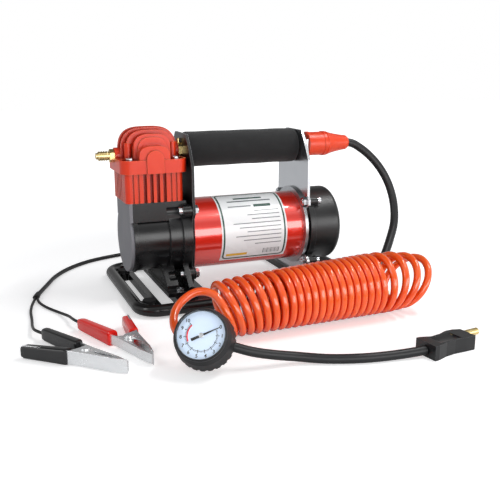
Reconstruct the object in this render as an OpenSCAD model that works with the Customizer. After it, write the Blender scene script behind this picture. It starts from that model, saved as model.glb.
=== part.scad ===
// Portable 12 V direct-drive air compressor: one-cylinder pump bolted to a DC
// motor on a moulded base, a padded handle that carries the air, a coiled hose
// with a gauge and a tyre chuck, and a supply lead with two battery clamps.
// Millimetres, +Z up. X runs along the motor axis from the pump to the rear
// cover, +Y is the back. The origin is on the floor under the middle.

/* [Base] */
// Length of the base
base_l = 242; // [236:1:260]
// Depth of the base
base_w = 164; // [150:1:180]
// Diameter of the rolled rim
rim_d = 11; // [8:0.5:12]
// Outer corner radius of the rim
corner_r = 24; // [18:1:36]
// Thickness of the rubber feet under the rim
foot_t = 1; // [1:0.5:4]
// Thickness of the cross bars
bar_t = 7; // [4:0.5:8]

/* [Motor] */
// Height of the motor axis above the floor
axis_z = 57; // [55:0.5:64]
// Outer diameter of the motor can
can_d = 70; // [66:1:74]
// Length of the motor can
can_l = 114.5; // [104:0.5:120]
// Wall of the motor can
can_wall = 2; // [1.5:0.25:3]
// Diameter of the rear bell's flange
bell_d = 80; // [78:0.5:82]
// Thickness of the rear bell's flange
bell_t = 3; // [2:0.5:5]
// Diameter of the motor shaft
shaft_d = 8; // [6:0.5:9]
// Diameter of the armature stack
armature_d = 42; // [36:1:46]
// Length of the armature stack
armature_l = 56; // [40:1:62]
// Thickness of the magnets
magnet_t = 9; // [6:0.5:10]

/* [Rear cover] */
// Outer diameter of the rear cover
cover_d = 76; // [74:1:80]
// Length of the rear cover
cover_l = 36; // [32:1:40]
// Wall of the rear cover
cover_wall = 2.5; // [2:0.25:3.5]
// Width of the rocker switch's opening
rocker_w = 19; // [15:0.5:22]
// Height of the rocker switch's opening
rocker_h = 13; // [10:0.5:14]

/* [Brackets and handle] */
// Thickness of the two side brackets
plate_t = 2.5; // [2:0.25:3]
// Height of the handle's axis above the floor
handle_z = 140; // [134:1:150]
// Diameter of the foam grip
grip_d = 34; // [30:1:38]
// Diameter of the handle's air tube
tube_d = 14; // [12:1:18]
// Bore of the handle's air tube
tube_bore = 8; // [6:0.5:10]
// Spacing of the flange bolts, each way
bolt_gap = 62; // [60:0.5:66]
// Diameter of the flange bolts
bolt_d = 5; // [4:0.5:6]

/* [Pump] */
// Bore of the pump's cylinder
bore_d = 38; // [35:0.5:38.5]
// Throw of the crank, half the stroke
throw = 12; // [8:0.5:13]
// Centre distance of the connecting rod
rod_l = 45; // [44:0.5:48]
// Side of the square cylinder block
cyl_w = 55; // [50:0.5:56]
// Height of the cylinder block
cyl_h = 27; // [24:0.5:30]
// Height of the cylinder's foot above the motor axis
deck_up = 38; // [36:0.5:40]
// Diameter of the crankcase drum
drum_d = 64; // [62:1:68]
// Wall of the crankcase drum
drum_wall = 4; // [3:0.25:5]
// Diameter of the crankcase flange
flange_d = 76; // [74:0.5:78]
// Thickness of the crankcase flange
flange_t = 9; // [8:0.5:12]
// Thickness of the front cover plate
front_t = 3; // [2:0.5:4]
// Side of the square cylinder head
head_w = 63; // [60:0.5:64]
// Height of the head's plain band
band_h = 10; // [8:0.5:12]
// Height of the head's crown above the band
crown_h = 28.5; // [24:0.5:30]
// Number of fins across the head
head_fins = 7; // [5:2:9]
// Thickness of each head fin
fin_t = 2.4; // [2:0.1:3]
// Spacing of the head screws, each way
screw_gap = 43; // [42:0.5:43.5]
// Distance from the drum's front to the cylinder's axis
nose = 22; // [21.5:0.5:23]

/* [Air fittings] */
// Diameter of the air coupler's collar
collar_d = 24; // [20:0.5:26]
// Length of the air coupler's collar
collar_l = 21; // [16:0.5:22]
// Length of the hose's tapered boot
boot_l = 27; // [24:1:30]
// Diameter of the lead hose from the coupler
lead_hose_d = 8.5; // [7:0.5:10]
// Diameter of the coiled hose's tube
coil_tube_d = 6.6; // [5.6:0.2:7]
// Outer diameter of the coiled hose at the gauge end
coil_d1 = 50; // [44:1:54]
// Outer diameter of the coiled hose at the coupler end
coil_d2 = 56; // [50:1:60]
// Length of the closed-up turns of the coiled hose
coil_l = 144; // [130:1:150]

/* [Gauge and chuck] */
// Diameter of the gauge's rubber boot at the back
gauge_d = 46; // [44:0.5:48]
// Diameter of the gauge's front ring
ring_d = 39; // [37:0.5:41]
// Depth of the gauge
gauge_h = 24; // [22:0.5:28]
// Diameter of the hose between the gauge and the chuck
chuck_hose_d = 7.5; // [6:0.5:8]
// Length of the chuck's body
chuck_l = 44; // [40:1:50]
// Height of the chuck's body
chuck_h = 12; // [11:0.5:14]
// Diameter of the chuck's brass tip
tip_d = 6; // [5:0.5:7]

/* [Supply lead] */
// Diameter of the supply cable
cable_d = 4.2; // [4:0.2:5]
// Diameter of each clamp wire
wire_d = 2.6; // [2.4:0.2:3]
// Length of a battery clamp
clamp_l = 104; // [100:1:112]
// Width of a battery clamp's levers
clamp_w = 13; // [11:0.5:15]
// Thickness of the levers' sheet steel
sheet_t = 1.2; // [0.8:0.1:1.6]
// Distance across the clamp's handle ends
clamp_spread = 42; // [38:1:46]

/* [Fits] */
// Running clearance of a turning fit, on the radius
run_gap = 0.05; // [0.02:0.01:0.1]
// Clearance between pieces that only pass each other
air_gap = 0.3; // [0.2:0.05:0.5]

/* [Hidden] */
$fn = 64;
eps = 0.01;

// stations along X, from the pump to the rear cover
plate_x = -47;                          // pump side of the pump bracket
pump_off = 33;                          // from that bracket to the cylinder's axis
pump_x = plate_x - pump_off;            // axis of the cylinder
drum_x0 = pump_x - nose;                // front face of the crankcase
can_x0 = plate_x + plate_t;             // motor can, pump end
can_x1 = can_x0 + can_l;                // motor can, rear end
plate2_x = can_x1 + bell_t;             // motor side of the motor bracket
cover_x0 = plate2_x + plate_t;          // rear cover, open end
cover_x1 = cover_x0 + cover_l;          // rear cover, end face
base_x = 7.5;                           // middle of the base
base_x0 = base_x - base_l / 2;          // pump end of the base
base_x1 = base_x + base_l / 2;          // other end of the base
deck_z = foot_t + bar_t;                // top of the base's bars

// heights of the pump
deck = axis_z + deck_up;                // foot of the cylinder
cyl_top = deck + cyl_h;                 // top of the cylinder
valve_t = 3;                            // valve plate with its reeds
head_z = cyl_top + valve_t;             // foot of the head
liner_t = 1.5;
bolt_z = axis_z - 2;                    // middle of the flange bolts' square

// a bar or shaft along X
module xcyl(d, x0, x1, y = 0, z = 0, fn = 64)
  translate([x0, y, z]) rotate([0, 90, 0]) cylinder(d = d, h = x1 - x0, $fn = fn);

// children at the four corners of a square in the YZ plane
module at_bolts(gap, zc)
  for (sy = [-1, 1], sz = [-1, 1])
    translate([0, sy * gap / 2, zc + sz * gap / 2]) children();

// a rounded rectangle
module round_rect(l, w, r) {
  square([l - 2 * r, w], center = true);
  square([l, w - 2 * r], center = true);
  for (sx = [-1, 1], sy = [-1, 1])
    translate([sx * (l / 2 - r), sy * (w / 2 - r)]) circle(r = r);
}

// ---------------------------------------------------------------- base
bar_ends = base_w - rim_d;
// middle and width of each cross bar: pump nose, pump foot, motor foot, end
bars = [[pump_x - 10, 6], [plate_x - 6, 34], [cover_x0 + 3, 16]];
mount_y = 54;                           // rubber mounts, from the middle
mount_x = [base_x0 + 17.5, base_x1 - 25];
mount_d = 8;                            // neck of a mount
// webs that carry the rubber mounts, from the rim to the nearest bar
webs = [[base_x0 + rim_d / 2, pump_x - 10], [cover_x0 + 3, base_x1 - rim_d / 2]];

module base_tray()
  color("#141416")
  difference() {
    union() {
      translate([base_x, 0, foot_t + rim_d / 2]) {
        for (s = [-1, 1]) {
          translate([-(base_l / 2 - corner_r), s * (base_w - rim_d) / 2, 0])
            rotate([0, 90, 0]) cylinder(d = rim_d, h = base_l - 2 * corner_r);
          translate([s * (base_l - rim_d) / 2, -(base_w / 2 - corner_r), 0])
            rotate([-90, 0, 0]) cylinder(d = rim_d, h = base_w - 2 * corner_r);
        }
        for (sx = [0, 1], sy = [0, 1]) mirror([sx, 0, 0]) mirror([0, sy, 0])
          translate([base_l / 2 - corner_r, base_w / 2 - corner_r, 0])
            rotate_extrude(angle = 90)
              translate([corner_r - rim_d / 2, 0]) circle(d = rim_d);
      }
      for (b = bars)
        translate([b[0] - b[1] / 2, -bar_ends / 2, foot_t])
          cube([b[1], bar_ends, bar_t]);
      for (x = mount_x, s = [-1, 1])
        translate([x, s * mount_y, foot_t]) cylinder(d = 16, h = bar_t);
      for (w = webs, s = [-1, 1])
        translate([w[0], s * mount_y - 6, foot_t]) cube([w[1] - w[0], 12, bar_t]);
    }
    base_bores();
  }

foot_bolts = [[pump_x + 17, -44], [pump_x + 17, 44], [cover_x0 + 6, -30], [cover_x0 + 6, 30]];
module base_bores() {
  for (x = mount_x, s = [-1, 1])
    translate([x, s * mount_y, -eps]) cylinder(d = mount_d, h = deck_z + 1);
  for (p = foot_bolts)
    translate([p[0], p[1], -eps]) cylinder(d = 4.2, h = deck_z + 2 * foot_pad);
}

foot_pad = 4;                           // thickness of the feet on the bars
module base_feet()
  color("#1d1d1d")
  for (x = mount_x, s = [-1, 1]) translate([x, s * mount_y, 0]) {
    cylinder(d = 15, h = foot_t);
    cylinder(d = mount_d, h = deck_z + 1);
    translate([0, 0, deck_z]) cylinder(d = 12, h = 2.5);
  }

// pan-head screw standing on z = 0, shank of length l below it
module pan_screw(d, l, head_d, head_h) {
  translate([0, 0, -l]) cylinder(d = d, h = l + eps);
  difference() {
    cylinder(d = head_d, h = head_h);
    translate([0, 0, head_h - head_h / 3]) {
      translate([-head_d * 0.3, -0.5, 0]) cube([head_d * 0.6, 1, head_h]);
      translate([-0.5, -head_d * 0.3, 0]) cube([1, head_d * 0.6, head_h]);
    }
  }
}

module base_screws()
  color("#b9bcbf")
  for (p = foot_bolts)
    translate([p[0], p[1], deck_z + (p[0] < 0 ? foot_pad : plate_t)])
      pan_screw(4, bar_t + 2, 8, 2.6);

// ------------------------------------------------------------ brackets
// half outline of a side plate, from the foot up to the flat top over the handle
side_top = [[35.5, 128], [26.8, handle_z + 3], [18, handle_z + 16]];
pump_side = concat([[26, deck_z], [29, 20], [33, 46], [34, 78], [38, 83], [38, 88], [35.5, 96]], side_top);
motor_side = concat([[24.6, deck_z], [24.6, 20], [28.8, 51], [32.6, 78], [38, 83], [38, 88],
  [35.5, 92]], side_top);

module side_plate(half, x)
  translate([x, 0, 0]) rotate([90, 0, 90]) linear_extrude(plate_t)
    polygon(concat(half, [for (i = [len(half) - 1 : -1 : 0]) [-half[i][0], half[i][1]]]));

module plate_foot(x, l, w)
  translate([x, -w / 2, deck_z]) cube([l, w, plate_t]);

module pump_bracket()
  color("#1b1b1d")
  difference() {
    union() {
      side_plate(pump_side, plate_x);
      at_bolts(bolt_gap, bolt_z) xcyl(12, plate_x, plate_x + plate_t);
    }
    xcyl(bearing_d + 12, plate_x - 1, plate_x + plate_t + 1, 0, axis_z);
    xcyl(tube_d, plate_x - 1, plate_x + plate_t + 1, 0, handle_z);
    at_bolts(bolt_gap, bolt_z) xcyl(bolt_d + 0.2, plate_x - 1, plate_x + plate_t + 1);
  }

module motor_bracket()
  color("#c9ccd0")
  difference() {
    union() {
      side_plate(motor_side, plate2_x);
      at_bolts(bolt_gap, bolt_z) xcyl(14, plate2_x, plate2_x + plate_t);
      plate_foot(cover_x0 - plate_t, 14, 72);
      translate([plate2_x, -36, deck_z]) cube([plate_t, 72, 8]);
    }
    xcyl(50, plate2_x - 1, cover_x0 + 1, 0, axis_z);
    xcyl(tube_d, plate2_x - 1, cover_x0 + 1, 0, handle_z);
    at_bolts(bolt_gap, bolt_z) xcyl(bolt_d + 0.2, plate2_x - 1, cover_x0 + 1);
    base_bores();
  }

// bolt along X with its nut; the head of diameter head_d faces along dir
bolt_h = 3.5;                           // height of a head or nut
module bolt_bar(d, a, b, fn = 64) xcyl(d, min(a, b), max(a, b), 0, 0, fn);
module cross_bolt(x_head, x_nut, dir, head_d) {
  bolt_bar(bolt_d, x_head, x_nut - dir * (bolt_h + 1));
  bolt_bar(head_d, x_head, x_head + dir * bolt_h, 32);
  bolt_bar(9.6, x_nut, x_nut - dir * bolt_h, 6);
}

module flange_bolts()
  color("#c4c7ca")
  at_bolts(bolt_gap, bolt_z)
    cross_bolt(plate_x - flange_t, plate_x + plate_t, -1, 8);

module rear_bolts()
  color("#c4c7ca")
  at_bolts(bolt_gap, bolt_z)
    cross_bolt(cover_x0 + ear_l, plate2_x, 1, 7);

// -------------------------------------------------------------- handle
grip_x0 = plate_x + plate_t;
grip_x1 = plate2_x;
module handle_tube()
  color("#b4b7ba")
  difference() {
    xcyl(tube_d, plate_x, cover_x0, 0, handle_z);
    xcyl(tube_bore, plate_x - 1, cover_x0 + 1, 0, handle_z);
  }

module foam_grip()
  color("#2f2f2f")
  translate([grip_x0 + air_gap, 0, handle_z]) rotate([0, 90, 0])
    rotate_extrude() {
      gl = grip_x1 - grip_x0 - 2 * air_gap;
      r = 3;
      difference() {
        union() {
          translate([tube_d / 2, 0]) square([grip_d / 2 - tube_d / 2 - r, gl]);
          translate([tube_d / 2, r]) square([grip_d / 2 - tube_d / 2, gl - 2 * r]);
          for (y = [r, gl - r]) translate([grip_d / 2 - r, y]) circle(r = r);
        }
        translate([-grip_d, 0]) square([grip_d + tube_d / 2, gl]);
      }
    }

// head outlet: hex adapter that carries air into the handle's tube
module outlet_fitting()
  color("#9aa39a")
  difference() {
    union() {
      xcyl(11, boss_x1, plate_x, 0, handle_z);
      xcyl(15, plate_x - 3.4, plate_x, 0, handle_z, 6);
      // relief screw that stands on the adapter
      translate([(boss_x1 + plate_x) / 2, 0, handle_z]) cylinder(d = 3, h = 8.4);
      translate([(boss_x1 + plate_x) / 2, 0, handle_z + 7]) cylinder(d = 3.6, h = 4);
    }
    xcyl(tube_bore - 3, boss_x1 - 1, plate_x + 1, 0, handle_z);
  }

// ---------------------------------------------------------------- pump
drum_x1 = plate_x - flange_t;
block_x1 = pump_x + cyl_w / 2 - 1;
bearing_d = 22;
bearing_t = 7;
case_wall_x = plate_x - 10;             // wall that holds the main bearing
drum_r_in = drum_d / 2 - drum_wall;

// the spread foot under the drum, as seen from the end
module pump_foot(x0, l, top_w, foot_w)
  translate([x0, 0, 0]) rotate([90, 0, 90]) linear_extrude(l)
    polygon([[-top_w / 2, axis_z - 10], [top_w / 2, axis_z - 10], [top_w / 2, axis_z - 23],
      [foot_w / 2, deck_z + foot_pad + 4], [foot_w / 2, deck_z],
      [-foot_w / 2, deck_z], [-foot_w / 2, deck_z + foot_pad + 4], [-top_w / 2, axis_z - 23]]);

module crankcase()
  color("#202123")
  difference() {
    union() {
      xcyl(drum_d, drum_x0, plate_x, 0, axis_z);
      xcyl(drum_d + 3, drum_x0, drum_x0 + 4, 0, axis_z);
      xcyl(drum_d + 6, drum_x1 - 12, drum_x1, 0, axis_z);
      translate([drum_x0, -cyl_w / 2, axis_z + 20])
        cube([block_x1 - drum_x0 + 3, cyl_w, deck_up - 20]);
      xcyl(flange_d, drum_x1, plate_x, 0, axis_z);
      at_bolts(bolt_gap, bolt_z) xcyl(12, drum_x1, plate_x);
      pump_foot(pump_x + 6, 11, 40, 76);
      pump_foot(drum_x1, 5, 60, 98);
      translate([pump_x + 4, -49, deck_z]) cube([plate_x - pump_x - 4, 98, foot_pad]);
    }
    xcyl(drum_r_in * 2, drum_x0 - 1, case_wall_x - 3, 0, axis_z);
    xcyl(bearing_d, case_wall_x - 4, case_wall_x - 3 + bearing_t, 0, axis_z);
    xcyl(shaft_d + 4, case_wall_x - 4, plate_x + 1, 0, axis_z);
    xcyl(bearing_d + 12, case_wall_x - 3 + bearing_t, plate_x + 1, 0, axis_z);
    translate([pump_x, 0, axis_z]) cylinder(d = bore_d + 2 * liner_t, h = deck_up + 1);
    at_bolts(bolt_gap, bolt_z) xcyl(bolt_d + 0.2, drum_x1 - 12, plate_x + 1);
    at_bolts(bolt_gap, bolt_z) xcyl(10, drum_x1 - 14, drum_x1);
    base_bores();
  }

// plate that closes the drum, pressed in against the block
module front_cover()
  color("#77787b") {
    xcyl(drum_d, drum_x0 - front_t, drum_x0, 0, axis_z);
    translate([drum_x0 - front_t, -cyl_w / 2, axis_z + 20])
      cube([front_t, cyl_w, deck_up - 20]);
  }

// bores of the four long screws that clamp the head to the cylinder
screw_end = 4;                          // metal left under their ends
module head_bores(z, h, d = 4.2)
  for (sx = [-1, 1], sy = [-1, 1])
    translate([pump_x + sx * screw_gap / 2, sy * screw_gap / 2, z])
      cylinder(d = d, h = h);

slot_p = 6.2;
// upright slots in the four sides: deep ones in the middle, shallow ones beside
module side_slot(y, w, depth)
  translate([y * slot_p - w / 2, -cyl_w / 2 - 1, -1]) cube([w, 1 + depth, cyl_h + 2]);
module cylinder_block_slots()
  for (a = [0, 90, 180, 270]) rotate([0, 0, a]) {
    for (i = [-1.5, -0.5, 0.5, 1.5]) side_slot(i, 3.2, 4.6);
    for (i = [-3.3, -2.5, 2.5, 3.3]) side_slot(i, 1.6, 1.2);
  }

module cylinder_block()
  translate([pump_x, 0, deck]) difference() {
    linear_extrude(cyl_h) round_rect(cyl_w, cyl_w, 5);
    cylinder_block_slots();
    translate([0, 0, -1]) cylinder(d = bore_d + 2 * liner_t, h = cyl_h + 2);
  }

module cylinder_part()
  color("#e2402a")
  difference() {
    cylinder_block();
    head_bores(deck + screw_end, cyl_h + 2);
  }

liner_down = 10;                        // reach of the liner into the crankcase
module cylinder_liner()
  color("#aeb2b6")
  translate([pump_x, 0, deck - liner_down]) difference() {
    cylinder(d = bore_d + 2 * liner_t, h = cyl_h + liner_down);
    translate([0, 0, -1]) cylinder(d = bore_d, h = cyl_h + liner_down + 2);
  }

module valve_plate()
  color("#c9a45c")
  difference() {
    union() {
      translate([pump_x, 0, cyl_top]) linear_extrude(valve_t - 0.5) round_rect(cyl_w - 1, cyl_w - 1, 5);
      translate([pump_x, 0, cyl_top + valve_t - 0.5]) linear_extrude(0.5) round_rect(12, 30, 2);
    }
    head_bores(cyl_top - 1, valve_t + 2);
    for (s = [-1, 1]) translate([pump_x + s * 2.4, s * 9, cyl_top - 1]) cylinder(d = 3, h = valve_t + 2);
  }

boss_x1 = pump_x + head_w / 2 - 2.5;    // end of the outlet's boss
valve_x = pump_x - head_w / 2;          // face that the relief valve screws into
band_z = head_z + band_h;               // top of the plain band
pocket_z = band_z - 5;                  // floor of the corner pockets
rim_w = 2.2;                            // wall round the pockets
fin_y = head_w / 2 - 11.5;              // depth of the outermost fins
fin_gap = 2 * fin_y / (head_fins - 1);
// half width and height over the band of the crown at depth y
function fin_w(y) = head_w / 2 - 3.5 - 0.024 * y * y;
function fin_h(y) = crown_h - 0.014 * y * y;
// arched outline of half width w and height h, a super-ellipse with a straight foot
function arch(w, h, n = 3.2, steps = 28) = concat(
  [for (i = [0:steps]) let (a = 180 * i / steps)
    [w * sign(cos(a)) * pow(abs(cos(a)), 2 / n), h * pow(sin(a), 2 / n)]],
  [[-w, pocket_z - band_z], [w, pocket_z - band_z]]);

module head_slab(y, t, w, h)
  translate([pump_x, y + t / 2, band_z])
    rotate([90, 0, 0]) linear_extrude(t) polygon(arch(w, h));

// square pockets in the band's corners, inside a thin wall
pocket_in = 14.5;
module corner_pockets()
  translate([pump_x, 0, pocket_z]) linear_extrude(band_h) difference() {
    round_rect(head_w - 2 * rim_w, head_w - 2 * rim_w, 10 - rim_w);
    square([2 * pocket_in, head_w], center = true);
    square([head_w, 2 * pocket_in], center = true);
  }

module cylinder_head()
  color("#e2402a")
  difference() {
    union() {
      difference() {
        translate([pump_x, 0, head_z - valve_t + 0.5])
          linear_extrude(band_h + valve_t - 0.5) round_rect(head_w, head_w, 10);
        corner_pockets();
      }
      for (i = [0:head_fins - 1]) {
        y = (i - (head_fins - 1) / 2) * fin_gap;
        head_slab(y, fin_t, fin_w(y), fin_h(y));
      }
      // solid core under the fins, and the stepped blocks at front and back
      head_slab(0, 2 * fin_y - 12, fin_w(fin_y) + 2, crown_h - 10);
      for (s = [-1, 1]) {
        head_slab(s * (fin_y - 1), 8, pocket_in - 0.1, crown_h - 8.5);
        head_slab(s * (head_w / 2 - 6), 10.2, pocket_in - 0.1, crown_h - 16);
        translate([pump_x, s * head_w / 2, head_z - valve_t + 0.5]) rotate([90, 0, 0])
          translate([0, 0, -1.4]) linear_extrude(2.8) {
            translate([0, band_h + 3.2]) circle(r = 8);
            translate([-8, 0]) square([16, band_h + 3.2]);
          }
        for (sx = [-1, 1]) translate([pump_x + sx * 21, s * 13, pocket_z])
          cylinder(d = 7, h = crown_h - 9);
      }
      xcyl(17, boss_x1 - 12, boss_x1, 0, handle_z);
      xcyl(15, valve_x, valve_x + 14, 0, valve_z);
    }
    // seat over the valve plate, chamber, ports and screw holes
    translate([pump_x, 0, head_z - valve_t - 1])
      linear_extrude(valve_t + 1) round_rect(cyl_w - 1, cyl_w - 1, 5);
    translate([pump_x, 0, head_z - 1]) cylinder(d = bore_d - 2, h = band_h);
    translate([pump_x, 0, head_z]) cylinder(d = 12, h = handle_z - head_z);
    xcyl(5, pump_x - 1, boss_x1 + 1, 0, handle_z);
    xcyl(8, valve_x - 1, pump_x, 0, valve_z);
    head_bores(head_z - valve_t, band_h);
    head_bores(pocket_z, crown_h + 20, 9);
    // room for the outlet fitting
    xcyl(15.6, boss_x1, boss_x1 + 4, 0, handle_z);
  }

module head_screws()
  color("#cfd2d5")
  for (sx = [-1, 1], sy = [-1, 1])
    translate([pump_x + sx * screw_gap / 2, sy * screw_gap / 2, pocket_z]) {
      shank = pocket_z - deck - screw_end - 0.5;
      translate([0, 0, -shank]) cylinder(d = 4, h = shank);
      difference() {
        cylinder(d = 8, h = 6.5);
        translate([0, 0, 3.5]) cylinder(d = 4.4, h = 4, $fn = 6);
      }
    }

// brass relief valve screwed into the head's pump end
valve_z = head_z + 12;
valve_reach = 17;                       // from the head to the valve's tip
module safety_valve()
  color("#d9b44a")
  difference() {
    union() {
      xcyl(8, valve_x - eps, valve_x + 8, 0, valve_z);
      xcyl(12.5, valve_x - 4.5, valve_x, 0, valve_z, 6);
      xcyl(8, valve_x - valve_reach + 2, valve_x - 4.5 + eps, 0, valve_z);
      xcyl(6, valve_x - valve_reach, valve_x - 6, 0, valve_z);
      for (i = [0:3]) xcyl(9, valve_x - 7.6 - i * 2.2, valve_x - 6.6 - i * 2.2, 0, valve_z);
    }
    xcyl(2.4, valve_x - valve_reach - 1, valve_x + 9, 0, valve_z);
  }

// crank mechanism: shown at the top of the stroke
pin_z = axis_z + throw;
wrist_z = pin_z + rod_l;
pin_d = 8;
rod_t = 9;
crown_z = cyl_top - 1;                  // top of the piston at the top of the stroke
piston_h = 17;
piston_wall = 1.5;
crank_x = pump_x + rod_t / 2 + air_gap; // rod side of the crank disc
disc_t = 7;

module piston()
  color("#b8bcc0")
  translate([pump_x, 0, crown_z - piston_h]) difference() {
    cylinder(d = bore_d - 2 * run_gap, h = piston_h);
    translate([0, 0, -1]) cylinder(d = bore_d - 2 * run_gap - 2 * piston_wall, h = piston_h - 2 + 1);
    translate([0, 0, piston_h - 5]) difference() {
      cylinder(d = bore_d + 2, h = 2);
      translate([0, 0, -1]) cylinder(d = bore_d - 2.4, h = 4);
    }
  }

module piston_ring()
  color("#3a3a3a")
  translate([pump_x, 0, crown_z - 5 + air_gap / 2]) difference() {
    cylinder(d = bore_d - 2 * run_gap, h = 2 - air_gap);
    translate([0, 0, -1]) cylinder(d = bore_d - 2.3, h = 4);
  }

module connecting_rod()
  color("#c2c5c8")
  difference() {
    union() {
      xcyl(pin_d + 7, pump_x - rod_t / 2, pump_x + rod_t / 2, 0, pin_z);
      xcyl(8.4, pump_x - rod_t / 2, pump_x + rod_t / 2, 0, wrist_z);
      translate([pump_x - 2.5, -3.4, pin_z + 3]) cube([5, 6.8, rod_l - 6]);
    }
    xcyl(pin_d + 2 * run_gap, pump_x - rod_t, pump_x + rod_t, 0, pin_z);
    xcyl(5, pump_x - rod_t, pump_x + rod_t, 0, wrist_z);
  }

module wrist_pin()
  color("#9fa3a7")
  xcyl(5, pump_x - 8, pump_x + 8, 0, wrist_z);

module crank()
  color("#8f9397")
  difference() {
    union() {
      xcyl(pin_d, pump_x - rod_t / 2 - 0.5, crank_x + eps, 0, pin_z);
      xcyl(28, crank_x, crank_x + disc_t, 0, axis_z);
      translate([crank_x, 0, axis_z]) rotate([0, 90, 0]) intersection() {
        cylinder(r = throw + 12, h = disc_t);
        translate([0, -throw - 13, 0]) cube([throw + 13, 2 * throw + 26, disc_t]);
      }
      xcyl(pin_d + 8, crank_x, crank_x + disc_t, 0, pin_z);
    }
    xcyl(shaft_d, crank_x - 1, crank_x + disc_t + 1, 0, axis_z);
  }

module ball_race(x, id, od, t)
  difference() {
    xcyl(od, x, x + t, 0, axis_z);
    xcyl(id, x - 1, x + t + 1, 0, axis_z);
    difference() {
      xcyl(od - 4, x - 1, x + 0.8, 0, axis_z);
      xcyl(id + 4, x - 2, x + 1, 0, axis_z);
    }
  }

// --------------------------------------------------------------- motor
front_t2 = 3;                           // front wall of the motor can
module motor_can()
  color("#dd3b2b")
  difference() {
    xcyl(can_d, can_x0, can_x1, 0, axis_z);
    xcyl(can_d - 2 * can_wall, can_x0 + front_t2, can_x1 + 1, 0, axis_z);
    xcyl(30, can_x0 - 1, can_x0 + front_t2 + 1, 0, axis_z);
  }

label_l = 69;                           // length of the label
label_top = 182;                        // its upper edge, near the top of the can
label_a = 133;                          // angle of the can that it covers
module motor_label()
  color("#f2f4f3")
  translate([can_x0 + 27, 0, axis_z]) rotate([0, 90, 0]) rotate([0, 0, label_top])
    rotate_extrude(angle = label_a) translate([can_d / 2 + 0.02, 0]) square([0.3, label_l]);

magnet_l = armature_l + 6;
arm_x0 = can_x0 + 24;
module motor_magnets()
  color("#3f4144")
  for (s = [0, 180])
    translate([arm_x0 - 3, 0, axis_z]) rotate([s, 0, 0]) rotate([0, 90, 0]) rotate([0, 0, 30])
      rotate_extrude(angle = 120)
        translate([can_d / 2 - can_wall - magnet_t, 0]) square([magnet_t, magnet_l]);

module armature()
  color("#8a5a2b")
  difference() {
    union() {
      xcyl(armature_d, arm_x0, arm_x0 + armature_l, 0, axis_z);
      for (s = [0, 1])
        translate([s * (armature_l + 7), 0, 0])
          xcyl(armature_d - 8, arm_x0 - 7, arm_x0, 0, axis_z);
    }
    xcyl(shaft_d, arm_x0 - 9, arm_x0 + armature_l + 9, 0, axis_z);
    for (a = [0:30:330]) translate([0, 0, axis_z]) rotate([a, 0, 0])
      translate([arm_x0 - 1, -1, armature_d / 2 - 3]) cube([armature_l + 2, 2, 4]);
  }

comm_x = arm_x0 + armature_l + 8;
comm_d = 20;
comm_l = 13;
module commutator()
  color("#b87333")
  difference() {
    xcyl(comm_d, comm_x, comm_x + comm_l, 0, axis_z);
    xcyl(shaft_d, comm_x - 1, comm_x + comm_l + 1, 0, axis_z);
    for (a = [0:30:330]) translate([0, 0, axis_z]) rotate([a, 0, 0])
      translate([comm_x - 1, -0.25, comm_d / 2 - 1]) cube([comm_l - 2, 0.5, 2]);
  }

shaft_x1 = can_x1 + 8;
module motor_shaft()
  color("#a4a8ac")
  xcyl(shaft_d, crank_x, shaft_x1, 0, axis_z);

// rear bell: bearing seat and brush holder, with its bright flange
bell_in = 6;
module rear_bell()
  color("#d3d5d7")
  difference() {
    union() {
      xcyl(bell_d, can_x1, can_x1 + bell_t, 0, axis_z);
      xcyl(can_d - 2 * can_wall - 0.2, can_x1 - bell_in, can_x1, 0, axis_z);
      xcyl(30, can_x1, can_x1 + 9, 0, axis_z);
    }
    xcyl(bearing_d, can_x1 - bell_in - 1, can_x1 - bell_in + bearing_t, 0, axis_z);
    xcyl(shaft_d + 2, can_x1 - bell_in, can_x1 + 10, 0, axis_z);
    at_bolts(bolt_gap, bolt_z) xcyl(bolt_d + 6, can_x1 - 1, can_x1 + bell_t + 1);
  }

// one bearing in the crankcase wall, one in the rear bell
module motor_bearings()
  color("#aeb1b4")
  for (x = [case_wall_x - 3, can_x1 - bell_in])
    ball_race(x, shaft_d + 2 * run_gap, bearing_d, bearing_t);

brush_top = can_d / 2 - can_wall - 3;
module brushes()
  color("#4a4a4c")
  for (s = [-1, 1]) {
    translate([comm_x + 3, s > 0 ? comm_d / 2 + air_gap : -brush_top + 4, axis_z - 3])
      cube([7, brush_top - 4 - comm_d / 2 - air_gap, 6]);
    difference() {
      translate([comm_x + 1, s > 0 ? comm_d / 2 + 4 : -brush_top, axis_z - 5])
        cube([can_x1 - bell_in - comm_x - 1, brush_top - comm_d / 2 - 4, 10]);
      translate([comm_x + 3, s > 0 ? comm_d / 2 : -brush_top + 4, axis_z - 3])
        cube([7, brush_top - 4 - comm_d / 2, 6]);
    }
  }

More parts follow.
